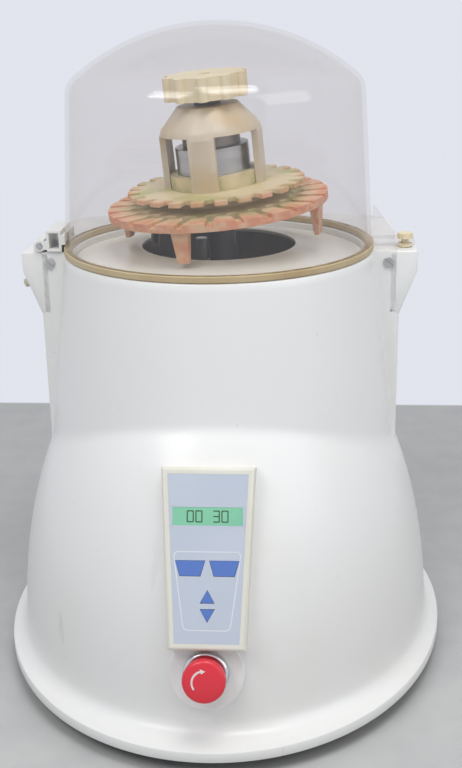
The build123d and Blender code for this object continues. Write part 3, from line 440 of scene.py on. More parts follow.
class Paint(Enum):
    """Named finishes of the machine's pieces."""

    CREAM_NYLON = Finish("cream_nylon", "nylon_cream", (0.86, 0.77, 0.52), (0.80, 0.67, 0.42), 0.42)
    CREAM_CASE = Finish(
        "cream_case", "case_cream", (0.77, 0.755, 0.67), (0.74, 0.72, 0.62), 0.45, grain_scale=1400
    )
    CAGE_RESIN = Finish(
        "cage_resin", "plate_cream", (0.68, 0.60, 0.47), (0.62, 0.49, 0.30), 0.34, patch_scale=26
    )
    TRAY_WHITE = Finish(
        "tray_white", "tray_white", (0.79, 0.73, 0.61), (0.68, 0.59, 0.44), 0.36, patch_scale=15
    )
    TAN_GASKET = Finish(
        "tan_gasket", "gasket_tan", (0.56, 0.45, 0.27), (0.45, 0.33, 0.17), 0.5, patch_scale=14
    )
    DARK_PAINT = Finish("dark_paint", "steel_painted", (0.055, 0.056, 0.058), (0.075, 0.074, 0.07), 0.5)
    PANEL_PAINT = Finish("panel_paint", "steel_painted", (0.52, 0.53, 0.53), (0.48, 0.49, 0.49), 0.48)
    WELL_PAINT = Finish(
        "well_paint", "steel_painted", (0.21, 0.145, 0.08), (0.28, 0.205, 0.12), 0.7, patch_scale=44
    )
    STEEL = Finish(
        "turned_steel", "bare_steel", (0.50, 0.50, 0.49), (0.42, 0.42, 0.41), 0.32,
        metallic=1.0, stretch=(1, 1, 9),
    )
    ALUMINIUM = Finish(
        "cast_aluminium", "aluminium", (0.50, 0.50, 0.49), (0.42, 0.41, 0.40), 0.42, metallic=1.0
    )
    GREY_CAP = Finish("grey_cap", "aluminium", (0.36, 0.33, 0.30), (0.30, 0.27, 0.24), 0.5, metallic=0.5)
    BLACK_STEEL = Finish(
        "black_steel", "black_steel", (0.018, 0.018, 0.019), (0.03, 0.03, 0.03), 0.36, metallic=0.3
    )
    RUBBER = Finish("black_rubber", "rubber_black", (0.022, 0.022, 0.022), (0.035, 0.035, 0.034), 0.75)
    BUMPER = Finish("cream_bumper", "bumper_cream", (0.64, 0.59, 0.47), (0.58, 0.53, 0.41), 0.6)
    OVERLAY = Finish(
        "overlay_film", "overlay_blue", (0.53, 0.585, 0.67), (0.56, 0.61, 0.69), 0.42, grain_scale=2600
    )
    OVERLAY_PALE = Finish("overlay_pale", "overlay_blue", (0.56, 0.60, 0.68), (0.54, 0.58, 0.67), 0.34)
    OVERLAY_WHITE = Finish("overlay_white", "overlay_blue", (0.76, 0.78, 0.82), (0.73, 0.76, 0.80), 0.36)
    KEY_BLUE = Finish("key_blue", "key_blue", (0.035, 0.105, 0.33), (0.045, 0.125, 0.36), 0.34)
    DISPLAY = Finish("display_glow", "display_green", (0.25, 0.62, 0.40), (0.22, 0.57, 0.37), 0.3)
    DIGIT = Finish("display_digit", "display_green", (0.05, 0.11, 0.055), (0.06, 0.12, 0.06), 0.3)
    RED = Finish("stop_red", "stop_red", (0.68, 0.003, 0.006), (0.58, 0.002, 0.005), 0.42)
    STOP_WHITE = Finish("stop_white", "stop_red", (0.78, 0.72, 0.70), (0.70, 0.62, 0.60), 0.4)
    CHROME = Finish("bright_metal", "chrome", (0.66, 0.66, 0.67), (0.60, 0.60, 0.61), 0.16, metallic=1.0)
    BLACK_PLASTIC = Finish(
        "black_plastic", "plastic_black", (0.022, 0.022, 0.024), (0.03, 0.03, 0.031), 0.45
    )
    BOARD = Finish("circuit_board", "board_green", (0.012, 0.12, 0.045), (0.02, 0.15, 0.06), 0.4)


def shade(piece: bpy.types.Object, angle: float = 32.0) -> None:
    """Smooths a mesh and keeps its edges sharper than an angle.

    Args:
        piece: Mesh object.
        angle: Sharpest smooth edge in degrees.
    """
    mesh = piece.data
    mesh.polygons.foreach_set("use_smooth", [True] * len(mesh.polygons))
    mesh.set_sharp_from_angle(angle=math.radians(angle))


def place_piece(
    name: str,
    solid: Solid,
    finish: Any,
    body: str,
    replaced: Iterable[str] = (),
    angle: float = 32.0,
) -> bpy.types.Object:
    """Turns a bmesh into a dressed piece that rides on a body.

    Args:
        name: Name of the piece.
        solid: Its mesh, in the row frame in metres.
        finish: Finish with a make method and a slot.
        body: Body that carries it.
        replaced: CAD nodes that it stands for.
        angle: Sharpest smooth edge in degrees.

    Returns:
        The new object.
    """
    mesh = bpy.data.meshes.new(name)
    solid.to_mesh(mesh)
    solid.free()
    piece = bpy.data.objects.new(name, mesh)
    bpy.context.scene.collection.objects.link(piece)
    mesh.materials.append(finish.make())
    shade(piece, angle)
    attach(piece, body)
    if replaced:
        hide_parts(*replaced)
    LOG.info("piece %s on %s", name, body)
    return piece


def soften(piece: bpy.types.Object, width: float, segments: int = 2, angle: float = 40.0) -> None:
    """Rounds the edges of a piece.

    Args:
        piece: Mesh object.
        width: Width of the rounding in millimetres.
        segments: Steps of the rounding.
        angle: Least angle of an edge that is rounded, in degrees.
    """
    bevel = piece.modifiers.new("rounding", "BEVEL")
    bevel.width = width * MM
    bevel.segments = segments
    bevel.limit_method = "ANGLE"
    bevel.angle_limit = math.radians(angle)
    bevel.harden_normals = True


@dataclass
class Workshop:
    """The loaded frame, and how its nodes are dressed."""

    frame: dict[str, Any]

    def body_of(self, node: str) -> str:
        """Name of the body that a CAD node belongs to."""
        bodies = self.frame["record"]["behaviour"]["bodies"]
        return next(body for body, members in bodies.items() if node in members)

    def dress(self, node: str, finish: Any) -> None:
        """Gives a CAD node that stays in place its material.

        Args:
            node: Name of the node.
            finish: Finish with a make method.
        """
        mesh = self.frame["nodes"][node].data
        mesh.materials.clear()
        mesh.materials.append(finish.make())

    def refine(
        self, node: str, finish: Any, rounding: float = 0.5, segments: int = 2, angle: float = 30.0
    ) -> bpy.types.Object:
        """Replaces a CAD node by a welded, smooth copy with rounded edges.

        Args:
            node: Name of the node.
            finish: Finish with a make method.
            rounding: Width of the rounded edges in millimetres.
            segments: Steps of the rounding.
            angle: Sharpest smooth edge in degrees.

        Returns:
            The new object.
        """
        solid = bmesh.new()
        solid.from_mesh(self.frame["nodes"][node].data)
        bmesh.ops.remove_doubles(solid, verts=solid.verts, dist=2e-6)
        flat = math.radians(0.6)
        bmesh.ops.dissolve_limit(solid, angle_limit=flat, verts=solid.verts, edges=solid.edges)
        bmesh.ops.recalc_face_normals(solid, faces=solid.faces)
        piece = place_piece(f"{node}_finished", solid, finish, self.body_of(node), (node,), angle)
        if rounding > 0:
            soften(piece, rounding, segments)
        return piece

    def refine_all(self, table: dict[str, tuple[Any, ...]]) -> None:
        """Refines many nodes, each with its paint and then its rounding and steps."""
        for node, (paint, *edges) in table.items():
            self.refine(node, paint.value if isinstance(paint, Paint) else paint, *edges)


def box_solid(size: Sequence[float], centre: Sequence[float], matrix: Optional[Matrix] = None) -> Solid:
    """A box as a bmesh.

    Args:
        size: Size along each axis in millimetres.
        centre: Centre in millimetres.
        matrix: Placement that is applied last.

    Returns:
        The bmesh, in metres.
    """
    solid = bmesh.new()
    local = Matrix.Translation(Vector(centre) * MM) @ Matrix.Diagonal((*[part * MM for part in size], 1.0))
    bmesh.ops.create_cube(solid, size=1.0, matrix=(matrix or Matrix.Identity(4)) @ local)
    return solid


def round_edges(solid: Solid, width: float, segments: int = 2) -> None:
    """Bevels every sharp edge of a bmesh.

    Args:
        solid: The bmesh.
        width: Width in millimetres.
        segments: Steps of the bevel.
    """
    sharp = [edge for edge in solid.edges if edge.is_manifold and edge.calc_face_angle() > math.radians(30)]
    bmesh.ops.bevel(
        solid,
        geom=sharp,
        offset=width * MM,
        offset_type="OFFSET",
        segments=segments,
        profile=0.5,
        material=-1,
        affect="EDGES",
        clamp_overlap=True,
    )


def spun(profile: Outline, steps: int, matrix: Optional[Matrix] = None) -> Solid:
    """A closed turned piece from a profile.

    Args:
        profile: Radius and height of each point in millimetres, in order round the section.
        steps: Steps of the full turn.
        matrix: Placement that is applied last.

    Returns:
        The bmesh, in metres.
    """
    solid = bmesh.new()
    points = [solid.verts.new((radius * MM, 0.0, height * MM)) for radius, height in profile]
    edges = [solid.edges.new(pair) for pair in zip(points, points[1:])]
    if profile[0][0] > 0 or profile[-1][0] > 0:
        edges.append(solid.edges.new((points[-1], points[0])))
    bmesh.ops.spin(
        solid,
        geom=points + edges,
        axis=(0, 0, 1),
        cent=(0, 0, 0),
        angle=2 * math.pi,
        steps=steps,
        use_merge=True,
    )
    bmesh.ops.remove_doubles(solid, verts=solid.verts, dist=1e-6)
    bmesh.ops.recalc_face_normals(solid, faces=solid.faces)
    if matrix is not None:
        bmesh.ops.transform(solid, matrix=matrix, verts=solid.verts)
    return solid


def prism(outline: Outline, low: float, high: float, matrix: Matrix) -> Solid:
    """A flat outline pulled up into a prism.

    Args:
        outline: Corners in millimetres.
        low: Lower face along the local Z axis, in millimetres.
        high: Upper face, in millimetres.
        matrix: Placement that is applied last.

    Returns:
        The bmesh, in metres.
    """
    solid = bmesh.new()
    corners = [solid.verts.new((x * MM, y * MM, low * MM)) for x, y in outline]
    face = solid.faces.new(corners)
    raised = bmesh.ops.extrude_face_region(solid, geom=[face])
    moved = [item for item in raised["geom"] if isinstance(item, bmesh.types.BMVert)]
    bmesh.ops.translate(solid, vec=(0, 0, (high - low) * MM), verts=moved)
    bmesh.ops.recalc_face_normals(solid, faces=solid.faces)
    bmesh.ops.transform(solid, matrix=matrix, verts=solid.verts)
    return solid


def rounded(outline: Outline, radius: float, steps: int = 5) -> Outline:
    """Rounds the corners of a convex outline by short curves.

    Args:
        outline: Corners in millimetres.
        radius: Length that each corner gives up on both sides, in millimetres.
        steps: Points of each corner.

    Returns:
        The new outline.
    """
    points = []
    count = len(outline)
    for index, corner in enumerate(outline):
        here = Vector(corner)
        before = here + (Vector(outline[index - 1]) - here).normalized() * radius
        after = here + (Vector(outline[(index + 1) % count]) - here).normalized() * radius
        for step in range(steps + 1):
            share = step / steps
            point = before * (1 - share) ** 2 + here * 2 * share * (1 - share) + after * share**2
            points.append((point.x, point.y))
    return points


def leaning(origin: Vector, normal: Vector) -> Matrix:
    """Placement whose Z axis is a normal and whose X axis stays level."""
    up = normal.normalized()
    side = Vector((1, 0, 0))
    across = up.cross(side).normalized()
    side = across.cross(up).normalized()
    matrix = Matrix((side, across, up)).transposed().to_4x4()
    return Matrix.Translation(origin) @ matrix


@dataclass
class Shell:
    """The moulded housing: flange, belly, tower, rear column and ears."""

    shop: Workshop
    flange_x: float = 192.5
    flange_y: float = 237.5
    flange_low: float = 13.0
    flange_high: float = 22.0
    belly_x: float = 180.0
    belly_y: float = 212.0
    belly_z: float = 292.0
    belly_centre: float = 24.0
    cove: float = 11.0
    rim_radius: float = 129.0
    rim_z: float = 350.0
    seat_radius: float = 121.0
    seat_z: float = 341.5
    draft: float = 0.12
    column_x: float = 150.0
    column_front: float = -18.0
    column_back: float = 145.0
    back_corner: float = 38.0
    front_corner: float = 3.0
    crease: float = 2.5
    ear_x: float = 164.0
    ear_side: float = 17.0
    ear_slope: float = 36.0
    ear_depth: float = 66.0
    steps: int = 224
    finish: ShellFinish = field(default_factory=ShellFinish)

    def column_reach(self, angle: float) -> float:
        """Distance from the axis to the rear column's rounded outline.

        Args:
            angle: Direction in radians.

        Returns:
            The distance in millimetres.
        """
        low, high = 0.0, 300.0
        for _ in range(26):
            reach = (low + high) / 2
            x = abs(reach * math.cos(angle))
            y = reach * math.sin(angle)
            corner = self.back_corner if y > 0 else self.front_corner
            over_x = x - (self.column_x - corner)
            over_y = (y - self.column_back if y > 0 else self.column_front - y) + corner
            outside = math.hypot(max(over_x, 0), max(over_y, 0)) - corner
            if outside > 0:
                high = reach
            else:
                low = reach
        return low

    def belly_reach(self, angle: float, height: float) -> float:
        """Distance from the axis to the belly at a height, with its cove over the flange."""
        share = 1 - ((height - self.belly_centre) / self.belly_z) ** 2
        scale = math.sqrt(max(share, 0.0))
        if scale < 0.05:
            return 0.0
        x = self.belly_x * scale
        y = self.belly_y * scale
        reach = 1 / math.hypot(math.cos(angle) / x, math.sin(angle) / y)
        rise = (height - self.flange_high) / self.cove
        if rise < 1:
            flare = 1 - math.sqrt(max(0.0, 1 - (1 - rise) ** 2))
            gap = self.flange_reach(angle) - reach - 1.5
            reach += min(gap, 12.0) * flare
        return reach

    def flange_reach(self, angle: float, inset: float = 0.0) -> float:
        """Distance from the axis to the flange's outline, drawn in by an inset."""
        x = self.flange_x - inset
        y = self.flange_y - inset
        return 1 / math.hypot(math.cos(angle) / x, math.sin(angle) / y)

    def wall_reach(self, angle: float, height: float, column: float) -> float:
        """Distance from the axis to the outer wall, with soft creases between the forms.

        Args:
            angle: Direction in radians.
            height: Height in millimetres.
            column: Reach of the rear column in that direction.

        Returns:
            The distance in millimetres.
        """
        tower = self.rim_radius + self.draft * (self.rim_z - height)
        reach = tower
        for other, softness in ((self.belly_reach(angle, height), self.crease), (column, 1.6)):
            near = max(softness - abs(reach - other), 0.0) / softness
            reach = max(reach, other) + near * near * softness / 4
        return reach

    def directions(self) -> list[float]:
        """Directions of the mesh lines, closer together at the column's front corners."""
        even = [2 * math.pi * step / self.steps for step in range(self.steps)]
        corner = math.atan2(-self.column_front, self.column_x)
        shoulder = math.asin(-self.column_front / self.rim_radius)
        extra = []
        for step in range(15):
            turn = corner - 0.012 + (shoulder - corner + 0.02) * step / 14
            extra.append(2 * math.pi - turn)
            extra.append(math.pi + turn)
        kept = [a for a in even if all(abs(a - b) > 0.006 for b in extra)]
        return sorted(kept + extra)

    def rings(self) -> list[Callable[[float, float], tuple[float, float]]]:
        """One function per ring, from the underside up the wall to the seat of the chamber floor."""
        rings: list[Callable[[float, float], tuple[float, float]]] = []
        rings.append(lambda angle, column: (self.flange_reach(angle, 16.0), self.flange_low))
        for inset, height in (
            (1.2, self.flange_low),
            (0.3, self.flange_low + 0.3),
            (0.0, self.flange_low + 1.2),
            (0.0, self.flange_high - 1.6),
            (0.5, self.flange_high - 0.5),
            (1.6, self.flange_high),
        ):
            rings.append(lambda angle, column, i=inset, z=height: (self.flange_reach(angle, i), z))
        heights = [self.flange_high + self.cove * (step / 6) ** 1.6 for step in range(7)]
        height = heights[-1]
        while height < self.rim_z - 4:
            height += 2.4 if 150 < height < 262 else 5.0
            heights.append(min(height, self.rim_z - 2.0))
        for height in heights:
            rings.append(lambda angle, column, z=height: (self.wall_reach(angle, z, column), z))
        for inset, drop in ((0.45, 0.6), (1.6, 0.0)):
            rings.append(
                lambda angle, column, i=inset, d=drop: (
                    max(self.rim_radius, column) - i,
                    self.rim_z - d,
                )
            )
        for radius, height in (
            (self.seat_radius + 0.8, self.rim_z),
            (self.seat_radius, self.rim_z - 0.8),
            (self.seat_radius, self.seat_z),
            (self.seat_radius - 8.0, self.seat_z),
        ):
            rings.append(lambda angle, column, r=radius, z=height: (r, z))
        return rings

    def make_wall(self) -> Solid:
        """The wall as one skin, pulled ring by ring from the underside."""
        directions = self.directions()
        columns = [self.column_reach(angle) for angle in directions]
        solid = bmesh.new()
        circle = bmesh.ops.create_circle(solid, segments=len(directions), radius=0.1)["verts"]
        rings = self.rings()
        for index, ring in enumerate(rings):
            if index:
                edges = [edge for edge in solid.edges if active.issuperset(edge.verts)]
                pulled = bmesh.ops.extrude_edge_only(solid, edges=edges)
                fresh = {item for item in pulled["geom"] if isinstance(item, bmesh.types.BMVert)}
                partners = {}
                for edge in solid.edges:
                    ends = edge.verts
                    if (ends[0] in fresh) != (ends[1] in fresh):
                        new, old = (ends[0], ends[1]) if ends[0] in fresh else (ends[1], ends[0])
                        if old in active:
                            partners[old] = new
                circle = [partners[vert] for vert in circle]
            active = set(circle)
            for vert, angle, column in zip(circle, directions, columns):
                reach, height = ring(angle, column)
                vert.co = Vector((reach * math.cos(angle), reach * math.sin(angle), height)) * MM
        bmesh.ops.recalc_face_normals(solid, faces=solid.faces)
        return solid

    def open_back(self, solid: Solid) -> None:
        """Opens the flat back behind the service panel."""
        low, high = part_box("service_panel")
        hidden = []
        for face in solid.faces:
            centre = face.calc_center_median()
            behind = centre.y > (self.column_back - 0.5) * MM
            across = low.x + 0.012 < centre.x < high.x - 0.012
            inside = low.z + 0.010 < centre.z < high.z - 0.010
            if behind and across and inside:
                hidden.append(face)
        bmesh.ops.delete(solid, geom=hidden, context="FACES")

    def make_ear(self, side: int) -> Solid:
        """One flared ear beside the tower.

        Args:
            side: Minus one for the left ear and one for the right.

        Returns:
            The ear's bmesh.
        """
        foot = self.rim_z - self.ear_side - self.ear_slope
        outline = [
            (side * (self.column_x - 9), self.rim_z),
            (side * self.ear_x, self.rim_z),
            (side * self.ear_x, self.rim_z - self.ear_side),
            (side * self.column_x, foot),
            (side * (self.column_x - 9), foot),
        ]
        upright = Matrix.Rotation(math.radians(90), 4, "X")
        front = self.column_front * MM
        back = Matrix.Translation((0, front + self.ear_depth * MM, 0))
        solid = prism(outline, 0, self.ear_depth, back @ upright)
        bmesh.ops.recalc_face_normals(solid, faces=solid.faces)
        round_edges(solid, 1.6, 3)
        return solid

    def build(self) -> None:
        """Builds the shell as one piece."""
        solid = self.make_wall()
        self.open_back(solid)
        mesh = bpy.data.meshes.new("joining")
        for side in (-1, 1):
            ear = self.make_ear(side)
            ear.to_mesh(mesh)
            ear.free()
            solid.from_mesh(mesh)
        bpy.data.meshes.remove(mesh)
        place_piece("housing_shell", solid, self.finish, "base", ("housing",), 28.0)


@dataclass
class Chamber:
    """Chamber floor, well, gasket, dome, hinge and catch."""

    shop: Workshop
    foot_radius: float = 127.6
    foot_z: float = 355.4
    shoulder_radius: float = 120.5
    shoulder_z: float = 476.0
    top_z: float = 532.0
    knuckle: float = 20.0
    wall: float = 3.5
    steps: int = 128

    def skin(self, inset: float) -> Outline:
        """Profile of the dome's skin from its foot to its top.

        Args:
            inset: Distance inside the outer skin in millimetres.

        Returns:
            Radius and height of each point in millimetres.
        """
        radius = self.shoulder_radius - inset
        knuckle = self.knuckle - inset
        rise = self.top_z - self.shoulder_z - inset
        flat = radius - knuckle
        crown = (flat**2 + rise**2 - knuckle**2) / (2 * (rise - knuckle))
        centre = self.shoulder_z + rise - crown
        split = math.atan(flat / (self.shoulder_z - centre))
        points = [(self.foot_radius - inset, self.foot_z)]
        for step in range(1, 9):
            share = step / 8
            points.append(
                (
                    (self.foot_radius - inset) * (1 - share) + radius * share,
                    self.foot_z * (1 - share) + self.shoulder_z * share,
                )
            )
        for step in range(1, 11):
            angle = math.radians(90) + (split - math.radians(90)) * step / 10
            points.append((flat + knuckle * math.sin(angle), self.shoulder_z + knuckle * math.cos(angle)))
        for step in range(1, 13):
            angle = split * (1 - step / 12)
            points.append((crown * math.sin(angle), centre + crown * math.cos(angle)))
        points[-1] = (0.0, self.shoulder_z + rise)
        return points

    def build(self) -> None:
        """Builds the dome as a thin closed shell and dresses what is round it."""
        clear = ClearFinish()
        profile = list(reversed(self.skin(0))) + self.skin(self.wall)
        place_piece("dome_clear", spun(profile, self.steps), clear, "lid", ("dome",), 40.0)
        self.shop.refine_all(
            {
                "latch_tongue": (clear, 0.4),
                "lid_gusset": (clear, 0.4),
                "tray": (Paint.TRAY_WHITE, 0.8, 3),
                "well": (Paint.WELL_PAINT, 0.6),
                "dome_gasket": (Paint.TAN_GASKET, 0.9, 3),
                "hinge_loop": (ShellFinish(), 0.5),
                "hinge_block": (ShellFinish(), 0.5),
                "hinge_pin": (Paint.STEEL, 0.3),
                "catch_knob": (Paint.CREAM_NYLON, 0.5),
                "catch_keeper": (Paint.STEEL, 0.3),
                "ear_screws": (Paint.STEEL, 0.35),
                "lid_bumper": (Paint.BUMPER, 0.4),
            }
        )


@dataclass
class Rotor:
    """Leaning rotor: hub, sample plate, retainer, cage and knob."""

    shop: Workshop
    pivot: Point = (0.0, 0.0, 0.388)
    lean: float = 5.2
    heading: float = 207.5

    def axis_turn(self) -> Point:
        """Turn that makes the rotor's own axis upright, for patterns round it."""
        lean = math.radians(self.lean)
        heading = math.radians(self.heading)
        sideways = math.sin(lean)
        axis = Vector((sideways * math.cos(heading), sideways * math.sin(heading), math.cos(lean)))
        return tuple(axis.rotation_difference(Vector((0, 0, 1))).to_euler("XYZ"))

    def stained(self, name: str, inner: float, outer: float) -> StainedFinish:
        """Stained resin about the rotor's axis, between two radii in millimetres."""
        return StainedFinish(name, "plate_cream", self.pivot, self.axis_turn(), inner * MM, outer * MM)

    def build(self) -> None:
        """Dresses every piece of the rotor."""
        self.shop.refine_all(
            {
                "sample_plate": (self.stained("plate_resin", 62, 96), 0.7),
                "retainer_disc": (self.stained("retainer_resin", 60, 84), 0.7),
                "clamp_cage": (Paint.CAGE_RESIN, 1.2, 3),
                "clamp_knob": (Paint.CREAM_NYLON, 1.4, 3),
                "thrust_washer": (Paint.BLACK_STEEL, 0.5),
                "hub_sleeve": (Paint.STEEL, 0.6),
                "hub_cap": (Paint.GREY_CAP, 0.5),
                "hub_bearings": (Paint.STEEL, 0.4),
                "clamp_stud": (Paint.STEEL, 0.4),
                "guide_pin": (Paint.STEEL, 0.3),
            }
        )


@dataclass
class Drive:
    """Swash drive, its frame and the pieces on the base."""

    shop: Workshop

    def build(self) -> None:
        """Dresses the drive, the inner frame, the base pan and the feet."""
        plain = {
            "swash_spindle": Paint.BLACK_STEEL,
            "guide_fork": Paint.BLACK_STEEL,
            "guide_post": Paint.ALUMINIUM,
            "counterweight": Paint.STEEL,
            "spindle_housing": Paint.BLACK_STEEL,
            "spindle_bearings": Paint.STEEL,
            "coupling": Paint.ALUMINIUM,
            "motor_shaft": Paint.STEEL,
            "motor_body": Paint.DARK_PAINT,
            "deck_plate": Paint.ALUMINIUM,
            "frame_posts": Paint.STEEL,
            "base_pan": Paint.DARK_PAINT,
            "feet": Paint.RUBBER,
        }
        for node, paint in plain.items():
            self.shop.refine(node, paint.value, 0.5)
        self.shop.dress("power_supply", Paint.ALUMINIUM.value)
        self.shop.dress("drive_board", Paint.BOARD.value)


@dataclass
class ControlBox:
    """Tapered control box with film overlay, display, keys and plain line work."""

    shop: Workshop
    tilt: float = 22.0
    window_up: float = 31.0
    digit_height: float = 8.0
    digit_width: float = 4.4
    digit_gap: float = 2.0
    stroke: float = 0.85
    ink: float = 0.12

    def placement(self) -> Matrix:
        """Placement on the face of the box, with its origin at the middle."""
        low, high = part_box("control_overlay")
        lean = math.radians(self.tilt)
        normal = Vector((0, -math.cos(lean), math.sin(lean)))
        middle = (low + high) / 2 + normal * 0.0005
        return leaning(middle, normal)

    def ring(self, outline: Outline, width: float) -> Solid:
        """A thin printed line round a closed outline.

        Args:
            outline: Corners in millimetres, already rounded.
            width: Width of the line in millimetres.

        Returns:
            The line as a very thin solid.
        """
        matrix = self.placement()
        solid = prism(outline, -0.05, 0.05, matrix)
        normal = (matrix.to_3x3() @ Vector((0, 0, 1))).normalized()
        caps = [face for face in solid.faces if abs(face.normal.dot(normal)) > 0.9]
        bmesh.ops.inset_region(solid, faces=caps, thickness=width * MM, use_even_offset=True)
        bmesh.ops.delete(solid, geom=[face for face in caps if face.is_valid], context="FACES")
        return solid

    def digits(self, text: str) -> Solid:
        """Plain seven-stroke digits on the display.

        Args:
            text: Noughts, threes and spaces.

        Returns:
            The strokes as one bmesh.
        """
        strokes = {
            "a": (0.5, 1.0, True),
            "b": (1.0, 0.75, False),
            "c": (1.0, 0.25, False),
            "d": (0.5, 0.0, True),
            "e": (0.0, 0.25, False),
            "f": (0.0, 0.75, False),
            "g": (0.5, 0.5, True),
        }
        lit = {"0": "abcdef", "3": "abgcd"}
        solid = bmesh.new()
        mesh = bpy.data.meshes.new("joining")
        matrix = self.placement()
        pitch = self.digit_width + self.digit_gap
        for index, sign in enumerate(text):
            start = (index - len(text) / 2) * pitch + self.digit_gap / 2
            for stroke in lit.get(sign, ""):
                across, up, level = strokes[stroke]
                size = (self.digit_width, self.stroke) if level else (self.stroke, self.digit_height / 2)
                rise = self.window_up + (up - 0.5) * self.digit_height
                centre = (start + across * self.digit_width, rise, -self.ink)
                bar = box_solid((*size, self.ink), centre, matrix)
                bar.to_mesh(mesh)
                bar.free()
                solid.from_mesh(mesh)
        bpy.data.meshes.remove(mesh)
        return solid

    def build(self) -> None:
        """Builds the line work and digits, and dresses the box."""
        self.shop.refine("control_case", Paint.CREAM_CASE.value, 0.6)
        self.shop.refine("control_overlay", Paint.OVERLAY.value, 0.0)
        self.shop.refine("display_window", Paint.DISPLAY.value, 0.0)
        for node in ("set_key", "run_key", "up_key", "down_key"):
            self.shop.refine(node, Paint.KEY_BLUE.value, 0.25)
        place_piece("display_digits", self.digits("00 30"), Paint.DIGIT.value, "base")
        border = rounded([(-25.5, 5.5), (25.5, 5.5), (17.5, -52.5), (-17.5, -52.5)], 4.5)
        place_piece("printed_border", self.ring(border, 0.8), Paint.OVERLAY_WHITE.value, "base")
        frame = rounded([(-28.0, 39.6), (28.0, 39.6), (28.0, 22.4), (-28.0, 22.4)], 1.5)
        place_piece("display_border", self.ring(frame, 1.6), Paint.OVERLAY_PALE.value, "base")


@dataclass
class StopButton:
    """Red twist-release stop button in its bright collar."""

    shop: Workshop
    centre: Point = (1.0, -208.93, 73.0)
    tilt: float = 15.0
    face: float = 26.5
    head_radius: float = 16.2
    crown_height: float = 4.0
    arrow_radius: float = 8.6
    arrow_width: float = 1.4
    arrow_start: float = 104.0
    arrow_sweep: float = 112.0
    tip_width: float = 1.9
    boss_radius: float = 28.8
    boss_height: float = 1.98
    boss_depth: float = 12.0

    def placement(self) -> Matrix:
        """Placement along the button's axis."""
        lean = math.radians(self.tilt)
        normal = Vector((0, -math.cos(lean), math.sin(lean)))
        return leaning(Vector(self.centre) * MM, normal)

    def arrow(self) -> Solid:
        """A plain turning arrow on the head: a curved band that ends in a point."""
        start = math.radians(self.arrow_start)
        turns = [start + math.radians(self.arrow_sweep) * step / 16 for step in range(17)]
        half = self.arrow_width / 2
        outline = [
            self._polar(self.arrow_radius - self.tip_width, start),
            self._polar(self.arrow_radius, start - math.radians(24)),
            self._polar(self.arrow_radius + self.tip_width, start),
        ]
        outline += [self._polar(self.arrow_radius + half, angle) for angle in turns]
        outline += [self._polar(self.arrow_radius - half, angle) for angle in reversed(turns)]
        solid = prism(outline, -0.4, 0.12, Matrix.Identity(4))
        for vertex in solid.verts:
            vertex.co.z += self.crown(math.hypot(vertex.co.x, vertex.co.y) / MM) * MM
        bmesh.ops.triangulate(solid, faces=[face for face in solid.faces if len(face.verts) > 4])
        bmesh.ops.transform(solid, matrix=self.placement(), verts=solid.verts)
        return solid

    def crown(self, radius: float) -> float:
        """Height of the head's face at a radius, in millimetres."""
        share = min(radius / self.head_radius, 1.0) ** 3.6
        return self.face - self.crown_height * (1 - math.sqrt(1 - share))

    def _polar(self, radius: float, angle: float) -> tuple[float, float]:
        """A point on the head by radius and angle."""
        return (radius * math.cos(angle), radius * math.sin(angle))

    def build(self) -> None:
        """Dresses the button and adds its arrow and the round boss under it."""
        self.shop.refine_all(
            {
                "stop_collar": (Paint.CHROME, 0.4),
                "stop_contact_block": (Paint.BLACK_PLASTIC, 0.4),
                "stop_stem": (Paint.STEEL, 0.3),
                "stop_head": (Paint.RED, 0.6, 3),
            }
        )
        place_piece("stop_arrow", self.arrow(), Paint.STOP_WHITE.value, "stop_head")
        edge = [(0.0, -self.boss_depth), (self.boss_radius, -self.boss_depth)]
        for inset, drop in ((0.0, 1.38), (0.3, 0.68), (0.9, 0.18), (1.8, 0.0)):
            edge.append((self.boss_radius - inset, self.boss_height - drop))
        edge.append((0.0, self.boss_height))
        place_piece("stop_boss", spun(edge, 72, self.placement()), ShellFinish(), "base", angle=28.0)


@dataclass
class ServicePanel:
    """Rear panel with fan, guard, power inlet, rocker switch and fuse caps."""

    shop: Workshop

    def build(self) -> None:
        """Dresses every piece of the rear panel."""
        self.shop.refine_all(
            {
                "service_panel": (Paint.PANEL_PAINT, 0.4),
                "panel_screws": (Paint.STEEL, 0.3),
                "fan_guard": (Paint.CHROME, 0.6, 3),
            }
        )
        for node in ("fan_frame", "fan_rotor", "power_inlet", "fuse_caps", "rocker_frame", "rocker_switch"):
            self.shop.refine(node, Paint.BLACK_PLASTIC.value, 0.4)


